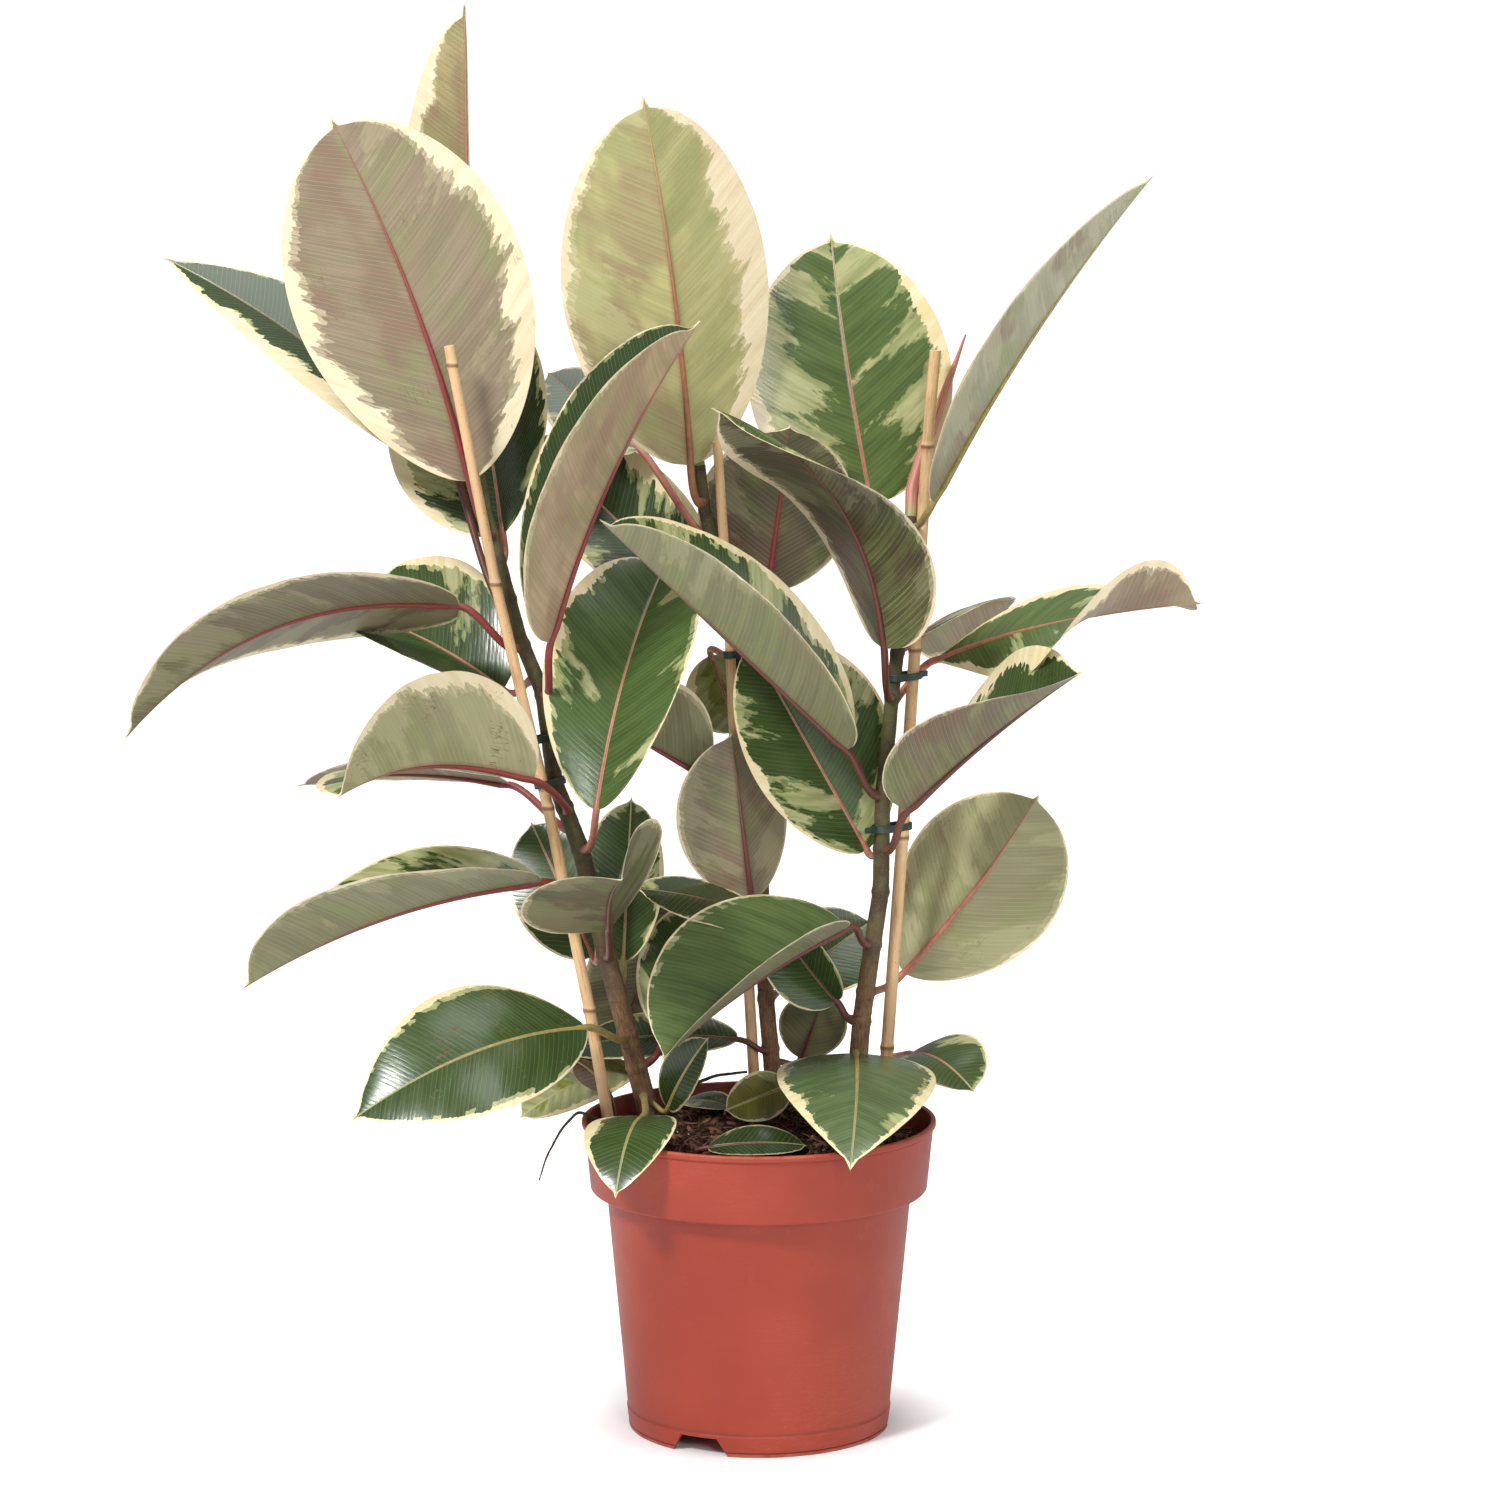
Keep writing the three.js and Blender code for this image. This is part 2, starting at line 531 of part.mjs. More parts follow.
// Outline round two circles that lie `apart` mm from each other on the X axis.
function ovalPoints(apart, [first, second]) {
  const lean = Math.asin((first - second) / apart);
  const arc = (cx, r, from, to, count) => Array.from({ length: count + 1 }, (_, i) => {
    const angle = from + ((to - from) * i) / count;
    return new THREE.Vector2(cx + r * Math.cos(angle), r * Math.sin(angle));
  });
  const side = Math.PI / 2 - lean;
  const caneEnd = arc(apart, second, -side, side, TIE_STEPS[0]);
  const stemEnd = arc(0, first, side, 2 * Math.PI - side, TIE_STEPS[1]);
  return [...caneEnd, ...stemEnd];
}

// Half width of a blade at u, as a share of its greatest: an ellipse that ends in a drip tip.
function outline(u) {
  const o = OUTLINE;
  const r = Math.min(u / o.bodyEnd, 1);
  const body = Math.sqrt(4 * r * (1 - r)) * (1 - o.squareness * (2 * u - 1) ** 2);
  const dripTip = u > o.dripStart ? (o.dripWidth * (1 - u)) / o.dripLength : 0;
  return Math.max(body, dripTip);
}

// Frame of a leaf at u along its midrib: centre, direction, right-hand side and upper normal.
function leafFrames({ base, tip, turn, bow, sway, twist }) {
  const chord = tip.clone().sub(base);
  const along = chord.clone().normalize();
  const front = new THREE.Vector3(0, -1, 0);
  const face = front.addScaledVector(along, -front.dot(along)).normalize();
  face.applyAxisAngle(along, radians(turn));
  const right = along.clone().cross(face);
  const middle = base.clone().addScaledVector(chord, 0.5)
    .addScaledVector(face, 2 * bow).addScaledVector(right, 2 * sway);
  const midrib = new THREE.QuadraticBezierCurve3(base, middle, tip);
  return (u) => {
    const centre = midrib.getPoint(u);
    const direction = midrib.getTangent(u);
    const normal = face.clone().addScaledVector(direction, -face.dot(direction)).normalize();
    normal.applyAxisAngle(direction, radians(twist) * u);
    return { centre, direction, right: direction.clone().cross(normal), normal };
  };
}

// Ring of the blade at u: the upper face from left to right, then the lower face back again.
function bladeRing(leaf, frame, u) {
  const width = leaf.half * outline(u);
  const { centre, right, normal } = frame;
  const half = BLADE.thickness / 2;
  const rib = THREE.MathUtils.lerp(BLADE.ribDepth, BLADE.ribTip, u);
  const place = (v, side) => {
    const fold = radians(v < 0 ? leaf.foldLeft : leaf.foldRight);
    const lift = width * Math.abs(v) * Math.sin(fold) - BLADE.curl * width * v * v;
    const across = width * v * Math.cos(fold);
    const point = centre.clone().addScaledVector(right, across).addScaledVector(normal, lift);
    if (v === 0) return point.addScaledVector(normal, side > 0 ? half : -half - rib);
    const outward = normal.clone().multiplyScalar(Math.cos(fold));
    outward.addScaledVector(right, -Math.sign(v) * Math.sin(fold));
    return point.addScaledVector(outward, side * half);
  };
  const upper = BLADE.across.map((v) => place(v, 1));
  const lower = BLADE.across.map((v) => place(v, -1)).reverse();
  return [...upper, ...lower];
}

// Round ring of the petiole, with its points in the same order as those of the blade.
function petioleRing(centre, right, normal, radius) {
  const angles = [162, 126, 90, 54, 18, -18, -54, -90, -126, -162].map(radians);
  return angles.map((angle) => centre.clone()
    .addScaledVector(right, radius * Math.cos(angle))
    .addScaledVector(normal, radius * Math.sin(angle)));
}

// Leaf: petiole, midrib and blade in one solid, from just off its stem to the drip tip.
function makeLeaf(leaf, petiole) {
  const frameAt = leafFrames(leaf);
  const start = frameAt(0);
  const radius = PETIOLE.radius * Math.min(1, leaf.half / PETIOLE.fullSizeHalf + PETIOLE.smallest);
  const rings = [];
  for (const t of [0, 0.5]) {
    const direction = petiole.getTangent(t);
    const right = start.right.clone();
    right.addScaledVector(direction, -right.dot(direction)).normalize();
    rings.push(petioleRing(petiole.getPoint(t), right, right.clone().cross(direction), radius));
  }
  rings.push(petioleRing(start.centre, start.right, start.normal, radius));
  for (let i = 0; i < BLADE.stations; i += 1) {
    const share = i / (BLADE.stations - 1);
    const eased = 0.5 - 0.5 * Math.cos(Math.PI * share);
    const placed = THREE.MathUtils.lerp(share, eased, BLADE.crowding);
    const u = THREE.MathUtils.lerp(BLADE.start, BLADE.end, placed);
    rings.push(bladeRing(leaf, frameAt(u), u));
  }
  return loft(rings);
}

// Curve of a petiole that leaves its stem squarely and runs into the midrib.
function petioleCurve(leaf, side, height) {
  const route = stems[side];
  const root = route.at(height);
  const stemAlong = route.at(height + 5).sub(route.at(height - 5)).normalize();
  const outward = leaf.exit === undefined
    ? leaf.base.clone().sub(root)
    : new THREE.Vector3(Math.cos(radians(leaf.exit)), Math.sin(radians(leaf.exit)), 0);
  outward.addScaledVector(stemAlong, -outward.dot(stemAlong)).normalize();
  const nearby = [height - PETIOLE.radius, height, height + PETIOLE.radius];
  const surface = Math.max(...nearby.map((z) => surfaceRadius(stemProfile(side), z)));
  return petioleFrom(root.addScaledVector(outward, surface + GAP), outward, leaf);
}

// Curve of a petiole from its start, in a direction, into the midrib of its blade.
function petioleFrom(start, outward, leaf) {
  const into = leafFrames(leaf)(0).direction;
  const reach = Math.min(PETIOLE.reach, start.distanceTo(leaf.base) * PETIOLE.reachShare);
  return new THREE.CubicBezierCurve3(
    start, start.clone().addScaledVector(outward, reach),
    leaf.base.clone().addScaledVector(into, -reach), leaf.base);
}

const readLeaf = ([base, tip, half, turn, bow, sway, foldLeft, foldRight, twist, exit]) => (
  { base: vec(base), tip: vec(tip), half, turn, bow, sway, foldLeft, foldRight, twist, exit });

addMesh('pot', makePot(), MATERIALS.pot);
addMesh('soil', makeSoil(), MATERIALS.soil);
for (const side of Object.keys(STEMS)) {
  addMesh(`stem_${side}`, makeStem(side), MATERIALS.stem);
  addMesh(`cane_${side}`, makeCane(side), MATERIALS.cane);
}
for (const [name, side, height, tailSide] of TIES) {
  addMesh(name, makeTie(side, height, tailSide), MATERIALS.tie);
}
for (const [name, side, height, ...values] of LEAVES) {
  const leaf = readLeaf(values);
  addMesh(name, makeLeaf(leaf, petioleCurve(leaf, side, height)), MATERIALS.leaf);
}
for (const [name, ...values] of FALLEN_LEAVES) {
  const leaf = readLeaf(values);
  const into = leafFrames(leaf)(0).direction;
  const start = leaf.base.clone().addScaledVector(into, -STUB);
  addMesh(name, makeLeaf(leaf, new THREE.LineCurve3(start, leaf.base)), MATERIALS.leaf);
}

plant.position.set(...PLANT_SHIFT);

export default plant;
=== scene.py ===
# %% [markdown]
# # A potted tineke rubber plant
# The plant has three woody stems in one plastic nursery pot, each tied to a bamboo cane. Its leaves
# are thick and glossy, dark green in the middle, grey-green in patches and cream at the margin. The
# solid model is loaded first and stays where it is. Every finer piece below takes the place of one
# of its solids.

# %% Load the solid model
import json
import math
import random
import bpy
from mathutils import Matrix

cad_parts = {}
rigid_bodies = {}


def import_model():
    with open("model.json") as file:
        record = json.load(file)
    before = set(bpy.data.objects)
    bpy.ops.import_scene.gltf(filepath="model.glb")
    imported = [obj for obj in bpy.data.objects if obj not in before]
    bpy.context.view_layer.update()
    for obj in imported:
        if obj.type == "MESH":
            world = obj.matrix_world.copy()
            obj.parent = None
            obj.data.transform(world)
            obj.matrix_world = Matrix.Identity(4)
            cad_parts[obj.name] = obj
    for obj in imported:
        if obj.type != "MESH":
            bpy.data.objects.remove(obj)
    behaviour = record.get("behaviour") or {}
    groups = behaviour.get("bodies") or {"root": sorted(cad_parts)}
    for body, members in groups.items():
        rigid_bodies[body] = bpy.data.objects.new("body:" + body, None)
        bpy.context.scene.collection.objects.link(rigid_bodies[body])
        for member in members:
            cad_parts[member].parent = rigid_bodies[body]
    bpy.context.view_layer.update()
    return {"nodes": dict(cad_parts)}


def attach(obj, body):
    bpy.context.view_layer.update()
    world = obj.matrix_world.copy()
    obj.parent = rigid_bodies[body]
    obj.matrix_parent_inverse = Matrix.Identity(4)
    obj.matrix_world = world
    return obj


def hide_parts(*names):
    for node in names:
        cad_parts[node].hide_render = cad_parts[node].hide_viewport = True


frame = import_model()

from types import SimpleNamespace

import bmesh
import bpy
from mathutils import Vector

# %% [markdown]
# ## Units and places
# Sizes are written in millimetres, in a frame whose upright axis is the pot's own, because that is
# how the plant is measured. Blender works in metres, and the model's origin lies under the middle of
# the whole plant, so each point is moved and scaled once when a piece is made.

# %% Millimetres to metres
MM = 0.001
PLANT_SHIFT = Vector((64, -1, 0))


def place(point):
    """A point given in millimetres from the pot's axis, in metres in the model's frame."""
    return (Vector(point) + PLANT_SHIFT) * MM


def paint(code):
    """A colour written as sRGB hexadecimal, in the linear values that shaders use."""
    shares = [int(code[i:i + 2], 16) / 255 for i in (1, 3, 5)]
    linear = [s / 12.92 if s <= 0.04045 else ((s + 0.055) / 1.055) ** 2.4 for s in shares]
    return (*linear, 1)


def palette(**codes):
    """Named colours for one material, each from its code."""
    return SimpleNamespace(**{name: paint(code) for name, code in codes.items()})


POT_AXIS = place((0, 0, 0))
print("pot axis stands at", tuple(round(c, 4) for c in POT_AXIS))

# %% [markdown]
# ## Node trees written as sums
# A material and a Geometry Nodes tree are both networks of nodes. Adding each Math node by hand hides
# the formula, so one small class wraps an output socket and lets Python's own operators add the
# nodes: `1 - mask * 2` makes two Math nodes. A number or colour that is the same all over never
# becomes a node.

# %% A socket that can be calculated with
class Wire:
    """An output socket in a node tree. Each operator adds one node and gives its output."""

    def __init__(self, nodes, socket):
        self.nodes = nodes
        self.socket = socket

    def __add__(self, other):
        return self.nodes.calc("ADD", self, other)

    def __radd__(self, other):
        return self.nodes.calc("ADD", other, self)

    def __sub__(self, other):
        return self.nodes.calc("SUBTRACT", self, other)

    def __rsub__(self, other):
        return self.nodes.calc("SUBTRACT", other, self)

    def __mul__(self, other):
        return self.nodes.calc("MULTIPLY", self, other)

    def __rmul__(self, other):
        return self.nodes.calc("MULTIPLY", other, self)

    def __truediv__(self, other):
        return self.nodes.calc("DIVIDE", self, other)

    def __pow__(self, other):
        return self.nodes.calc("POWER", self, other)

    def __abs__(self):
        return self.nodes.calc("ABSOLUTE", self)

    def do(self, operation, *others):
        """Any other Math or Vector Math operation on this socket."""
        return self.nodes.calc(operation, self, *others)

    def rise(self, low, high):
        """Smooth step: 0 below low, 1 above high."""
        steps = {"interpolation_type": "SMOOTHSTEP"}
        return self.nodes.add("ShaderNodeMapRange", steps, {0: self, 1: low, 2: high})

    def split(self):
        """The x, y and z of a vector."""
        parts = self.nodes.add("ShaderNodeSeparateXYZ", inputs={0: self})
        return [Wire(self.nodes, socket) for socket in parts.socket.node.outputs]


print("what a wire can do:", [name.strip("_") for name, value in vars(Wire).items() if callable(value)])


# %% A helper that adds nodes
def is_vector(value):
    """Whether a value or socket holds three numbers."""
    if isinstance(value, Wire):
        return value.socket.type == "VECTOR"
    return not isinstance(value, (int, float))


class Nodes:
    """Adds nodes to one tree: type, settings first, then the values or links of the sockets."""

    def __init__(self, tree):
        self.tree = tree

    def feed(self, socket, value):
        """Links a wire, or several, to an input socket, or sets its value."""
        if isinstance(value, Wire):
            self.tree.links.new(value.socket, socket)
        elif isinstance(value, list):
            for wire in value:
                self.tree.links.new(wire.socket, socket)
        else:
            socket.default_value = value

    def add(self, kind, settings=None, inputs=None, output=0):
        """A new node's output: its settings come first, then the values or links of its sockets."""
        node = self.tree.nodes.new(kind)
        for name, value in (settings or {}).items():
            setattr(node, name, value)
        for key, value in (inputs or {}).items():
            self.feed(node.inputs[key], value)
        return Wire(self, node.outputs[output])

    def calc(self, operation, *values):
        """A Math node, or a Vector Math node where a value is a vector."""
        if not any(is_vector(value) for value in values):
            return self.add("ShaderNodeMath", {"operation": operation}, dict(enumerate(values)))
        if operation == "MULTIPLY" and sum(is_vector(value) for value in values) == 1:
            vector, number = sorted(values, key=is_vector, reverse=True)
            return self.add("ShaderNodeVectorMath", {"operation": "SCALE"}, {0: vector, 3: number})
        gives_number = operation in ("DOT_PRODUCT", "LENGTH", "DISTANCE")
        full = [(v, v, v) if isinstance(v, (int, float)) else v for v in values]
        settings = {"operation": operation}
        return self.add("ShaderNodeVectorMath", settings, dict(enumerate(full)), int(gives_number))

    def join(self, x, y, z):
        """A vector from three numbers."""
        return self.add("ShaderNodeCombineXYZ", inputs={0: x, 1: y, 2: z})

    def mix(self, first, second, share):
        """A colour that turns from the first to the second as share goes from 0 to 1."""
        return self.add("ShaderNodeMix", {"data_type": "RGBA"}, {0: share, 6: first, 7: second}, 2)

    def noise(self, where, scale=1, detail=2, roughness=0.5):
        """Cloudy noise round 0.5: how fine, how many finer layers on top, and how strong those are."""
        inputs = {"Vector": where, "Scale": scale, "Detail": detail, "Roughness": roughness}
        return self.add("ShaderNodeTexNoise", inputs=inputs)


trial = Nodes(bpy.data.node_groups.new("trial sum", "ShaderNodeTree"))
result = 1 - trial.add("ShaderNodeValue") * 2
print("1 - mask * 2 adds", len(trial.tree.nodes) - 1, "nodes, the last one", result.socket.node.operation)
bpy.data.node_groups.remove(trial.tree)


# %% Starting and dressing a material
def new_material(name):
    """A node material with its helper and its Principled shader."""
    material = bpy.data.materials.new(name)
    material.use_nodes = True
    return material, Nodes(material.node_tree), material.node_tree.nodes["Principled BSDF"]


def on_piece(nodes):
    """Where a point of a piece lies in the model, in metres."""
    return nodes.add("ShaderNodeTexCoord", output="Object")


def read(nodes, name, output="Vector"):
    """What a mesh holds under a name, as a material reads it: a Vector, a Color or a number, Fac."""
    return nodes.add("ShaderNodeAttribute", {"attribute_name": name}, output=output)


def dress(nodes, shader, colour, roughness, relief=None, strength=0, depth=0):
    """Feeds the shader. Relief is a height that a Bump node turns into slopes, depth in metres."""
    nodes.feed(shader.inputs["Base Color"], colour)
    nodes.feed(shader.inputs["Roughness"], roughness)
    if relief is not None:
        values = {"Strength": strength, "Distance": depth, "Height": relief}
        nodes.feed(shader.inputs["Normal"], nodes.add("ShaderNodeBump", inputs=values, output="Normal"))


print("cream as linear light:", [round(c, 3) for c in paint("#e0cf9e")[:3]])


# %% Starting and ending a Geometry Nodes tree
def new_tree(name, sizes):
    """A Geometry Nodes tree with a named input for each size, its helper and its input wires."""
    tree = bpy.data.node_groups.new(name, "GeometryNodeTree")
    tree.interface.new_socket("Geometry", in_out="INPUT", socket_type="NodeSocketGeometry")
    tree.interface.new_socket("Geometry", in_out="OUTPUT", socket_type="NodeSocketGeometry")
    for label, kind in sizes.items():
        tree.interface.new_socket(label, in_out="INPUT", socket_type=f"NodeSocket{kind}")
    nodes = Nodes(tree)
    entry = tree.nodes.new("NodeGroupInput")
    return tree, nodes, {label: Wire(nodes, entry.outputs[label]) for label in ["Geometry", *sizes]}


def end_tree(nodes, geometry):
    """Realises what the tree made and hands it to the tree's output."""
    real = nodes.add("GeometryNodeRealizeInstances", inputs={0: geometry})
    exit_node = nodes.tree.nodes.new("NodeGroupOutput")
    nodes.feed(exit_node.inputs["Geometry"], real)


def store(nodes, geometry, name, value, kind="FLOAT_VECTOR", domain="POINT"):
    """Keeps a value on the geometry under a name, for later nodes and for materials."""
    settings = {"data_type": kind, "domain": domain}
    inputs = {"Geometry": geometry, "Name": name, "Value": value}
    return nodes.add("GeometryNodeStoreNamedAttribute", settings, inputs)


def recall(nodes, name, kind="FLOAT_VECTOR"):
    """A value that the geometry holds under a name, as a tree reads it."""
    return nodes.add("GeometryNodeInputNamedAttribute", {"data_type": kind}, {"Name": name})


def move_to(nodes, geometry, position):
    """Moves each point of the geometry to a position."""
    return nodes.add("GeometryNodeSetPosition", inputs={"Geometry": geometry, "Position": position})


def coat(nodes, geometry, material):
    """Smooth shading and a material on all faces."""
    smooth = nodes.add("GeometryNodeSetShadeSmooth", inputs={"Geometry": geometry})
    return nodes.add("GeometryNodeSetMaterial", inputs={"Geometry": smooth, "Material": material})


print("node groups so far:", len(bpy.data.node_groups))


# %% Growing a piece from a tree
def new_object(name, mesh):
    """A mesh object in the scene, at the origin."""
    piece = bpy.data.objects.new(name, mesh)
    bpy.context.scene.collection.objects.link(piece)
    return piece


def finished_mesh(name, shape):
    """A mesh from a bmesh, which is freed."""
    mesh = bpy.data.meshes.new(name)
    shape.to_mesh(mesh)
    shape.free()
    return mesh


def sharpen(mesh, degrees):
    """Ends smooth shading at edges that bend by more than an angle."""
    mesh.set_sharp_from_angle(angle=math.radians(degrees))


def plain_mesh(name, piece):
    """The evaluated object's shape as a plain mesh, put in the object's place."""
    ready = piece.evaluated_get(bpy.context.evaluated_depsgraph_get())
    mesh = bpy.data.meshes.new_from_object(ready)
    piece.modifiers.clear()
    piece.data = mesh
    mesh.name = name
    return piece


def grow(name, tree, values, start=None):
    """A piece that a tree grows from a starting mesh, with each input set by its identifier."""
    piece = new_object(name, start or bpy.data.meshes.new(name))
    modifier = piece.modifiers.new("grow", "NODES")
    modifier.node_group = tree
    for item in tree.interface.items_tree:
        if item.in_out == "INPUT" and item.name in values:
            modifier[item.identifier] = values[item.name]
    return plain_mesh(name, piece)


def settle(piece, slot, *nodes):
    """Hands a finished piece to the model: its body and the solids that it replaces; its finish slot is not
    used.
    """
    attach(piece, "root")
    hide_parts(*nodes)


print("solids that wait for a finer piece:", len(frame["nodes"]))

# %% [markdown]
# ## Camera, floor and light
# The photograph was taken from about 3.2 m with a long lens, at 0.9 m height and 8 degrees down. A
# large pale floor without a wall, a pale surround, a soft light from the upper left and three weaker
# ones give a bright look with faint shadows. The floor glows a little where the camera sees it, so
# that it stays even, and the glow fades out close round the pot, which paints a soft shadow there.
# The lens follows from the pot's rim, whose true width and width in the picture are both known.

# %% Camera
PHOTO_WIDTH = 1500  # pixels
FOCAL_PIXELS = 4825  # distance at which one pixel is as wide as one unit
SENSOR = 36  # mm
LOOK_DOWN = 8.08  # degrees
camera_data = bpy.data.cameras.new("camera")
camera_data.sensor_width = SENSOR
camera_data.sensor_fit = "HORIZONTAL"
camera_data.lens = SENSOR * FOCAL_PIXELS / PHOTO_WIDTH
camera_data.clip_end = 100
camera = bpy.data.objects.new("camera", camera_data)
camera.location = (0.058, -3.201, 0.922)
camera.rotation_euler = (math.radians(90 - LOOK_DOWN), 0, 0)
bpy.context.scene.collection.objects.link(camera)
bpy.context.scene.camera = camera
print("lens", round(camera_data.lens, 1), "mm")

# %% Floor
FLOOR_HALF = 14  # metres from the middle to each side
# Close round the pot the floor has no glow, which paints a soft shadow there
PAINTED_SHADOW_REACH = (0.07, 0.16)  # distances from the pot's axis between which the floor's own glow fades in
DISTANCE = (1.5, 5)  # distances between which the glow grows to its full strength
floor_mesh = bpy.data.meshes.new("plain_floor")
corners = [(x * FLOOR_HALF, y * FLOOR_HALF, 0) for x, y in ((-1, -1), (1, -1), (1, 1), (-1, 1))]
floor_mesh.from_pydata(corners, [], [(0, 1, 2, 3)])
floor = new_object("plain_floor", floor_mesh)
floor_paint, floor_nodes, floor_shader = new_material("pale floor")
floor_shader.inputs["Base Color"].default_value = (0.92, 0.92, 0.92, 1)
floor_shader.inputs["Roughness"].default_value = 0.7
floor_shader.inputs["Specular IOR Level"].default_value = 0.2
from_pot = (on_piece(floor_nodes) - POT_AXIS).do("LENGTH")
# The glow fades out near the pot, a painted soft shadow round it
glow = (0.6 + from_pot.rise(*DISTANCE) * 0.3) * from_pot.rise(*PAINTED_SHADOW_REACH)
glow = glow * floor_nodes.add("ShaderNodeLightPath", output="Is Camera Ray")
floor_nodes.feed(floor_shader.inputs["Emission Color"], floor_nodes.join(glow, glow, glow))
floor_shader.inputs["Emission Strength"].default_value = 1
floor_mesh.materials.append(floor_paint)
print("floor:", 2 * FLOOR_HALF, "m wide")

# %% Light
SURROUND = 0.335  # how strongly the surround lights the plant
SURROUND_SEEN = 1.05  # how strong the camera sees it, which is white
AIM = Vector((0, 0, 0.5))  # the middle of the plant
world = bpy.data.worlds.new("pale surround")
world.use_nodes = True
surround = world.node_tree.nodes["Background"]
surround.inputs["Color"].default_value = (1, 1, 1, 1)
nodes = Nodes(world.node_tree)
seen = nodes.add("ShaderNodeLightPath", output="Is Camera Ray")
nodes.feed(surround.inputs["Strength"], SURROUND + seen * (SURROUND_SEEN - SURROUND))
bpy.context.scene.world = world
bpy.context.scene.view_settings.view_transform = "Standard"


def softbox(name, position, size, power):
    """A square area light that looks at the middle of the plant."""
    data = bpy.data.lights.new(name, "AREA")
    data.size = size
    data.energy = power
    lamp = bpy.data.objects.new(name, data)
    lamp.location = position
    lamp.rotation_euler = (AIM - lamp.location).to_track_quat("-Z", "Y").to_euler()
    bpy.context.scene.collection.objects.link(lamp)


softbox("key light", (-1.7, -2.1, 2.9), 0.6, 104)
softbox("front light", (0.85, -3.05, 1.4), 0.5, 22)
softbox("top light", (0.2, 0.1, 2.8), 1.8, 40)
softbox("side light", (2.4, -1.4, 1.0), 1.2, 8)

# %% [markdown]
# ## Routes of the stems and canes
# A stem climbs in slightly bent stretches from leaf scar to leaf scar, and a bamboo cane in nearly
# straight ones from joint to joint. Both are a row of points up their middle, read off the
# photograph, with the depth that fits what hides what. Stations every few millimetres along the route
# carry a radius each, so that a scar or a joint can swell the rod there.

# %% Stems and canes in millimetres
STEMS = {
    "left": {
        "route": [
            (-70, 46, 168), (-76, 45, 207), (-90, 42, 262), (-104, 38, 317), (-121, 32, 391),
            (-138, 29, 437), (-146, 27, 499), (-161, 26, 536), (-173, 28, 582), (-184, 36, 622),
            (-189, 43, 650),
        ],
        "radius": (7.6, 4),
        "bud": [(-189, 43, 648, 4), (-190, 45, 656, 3), (-192, 47, 665, 0.6)],
        "scars": [238, 262, 317, 369, 391, 420, 497, 531, 562, 604],
    },
    "middle": {
        "route": [
            (14, 66, 168), (9, 65, 236), (5, 64, 281), (1, 62, 378), (-5, 60, 434), (-11, 58, 489),
            (-13, 56, 524), (-25, 54, 572), (-37, 52, 620), (-40, 53, 650),
        ],
        "radius": (6.2, 4),
        "bud": [(-40, 53, 648, 4), (-40, 53, 656, 3), (-41, 54, 665, 0.6)],
        "scars": [246, 281, 300, 316, 330, 428, 500, 515, 548, 600, 625],
    },
    "right": {
        "route": [
            (63, 31, 168), (66, 31, 221), (70, 32, 272), (76, 35, 314), (83, 36, 361), (84, 38, 424),
            (90, 40, 492), (98, 45, 560), (102, 53, 594), (103, 61, 614),
        ],
        "radius": (7, 4),
        "bud": [
            (103, 60, 610, 4.1), (104, 68, 632, 4.6), (113, 74, 662, 4.3), (127, 75, 700, 2.9),
            (140, 73, 737, 0.6),
        ],
        "scars": [243, 272, 292, 325, 361, 390, 427, 494, 524, 590],
    },
}
CANES = {
    "left": {
        "route": [
            (-97, 24, 170), (-115, 20, 282), (-142, 13, 422), (-176, 8, 574), (-203, -4, 721),
            (-205, -5, 734),
        ],
        "radius": (4.2, 3.4),
    },
    "middle": {
        "route": [(0, 64, 170), (-7, 60, 295), (-15, 52, 420), (-20, 45, 540), (-28, 41, 667)],
        "radius": (4, 3.2),
    },
    "right": {
        "route": [
            (84, 44, 170), (88, 45, 251), (98, 50, 396), (106, 55, 524), (114, 61, 662),
            (119, 62, 727),
        ],
        "radius": (4.4, 3.8),
    },
}
print("points on the stems:", {side: len(stem["route"]) for side, stem in STEMS.items()})
print("points on the canes:", {side: len(cane["route"]) for side, cane in CANES.items()})


# %% Points along a route
STATION = 1.5  # mm between two stations of a stem or cane


def at_height(rod, z):
    """The point of a stem or cane at a height, in millimetres."""
    route = [Vector(point) for point in rod["route"]]
    for low, high in zip(route, route[1:]):
        if z <= high.z or high is route[-1]:
            return low.lerp(high, (z - low.z) / (high.z - low.z))


def radius_at(rod, z):
    """The plain radius of a stem or cane at a height, in millimetres."""
    low, high = rod["route"][0][2], rod["route"][-1][2]
    return rod["radius"][0] + (rod["radius"][1] - rod["radius"][0]) * (z - low) / (high - low)


def eased(points, passes):
    """Points with their bends rounded by averaging neighbours, both ends kept."""
    for _ in range(passes):
        inner = [(a + 2 * b + c) / 4 for a, b, c in zip(points, points[1:], points[2:])]
        points = [points[0], *inner, points[-1]]
    return points


def filled(route, step):
    """Points every few millimetres on the straight stretches of a route."""
    route = [Vector(point) for point in route]
    points = []
    for low, high in zip(route, route[1:]):
        count = max(1, round((high - low).length / step))
        points += [low.lerp(high, i / count) for i in range(count)]
    return [*points, route[-1]]


print("stations:", {side: len(filled(stem["route"], STATION)) for side, stem in STEMS.items()})

# %% [markdown]
# ## A rod along a route
# Stems, canes, buds, the old root and the twig are all rods. A bevelled curve could make them, but a
# Geometry Nodes tree also keeps the way round and the way along on the surface, which bark and bamboo
# patterns need, and roughens the surface with noise. The tree turns a row of joined points into a
# curve and sweeps a circle along it.

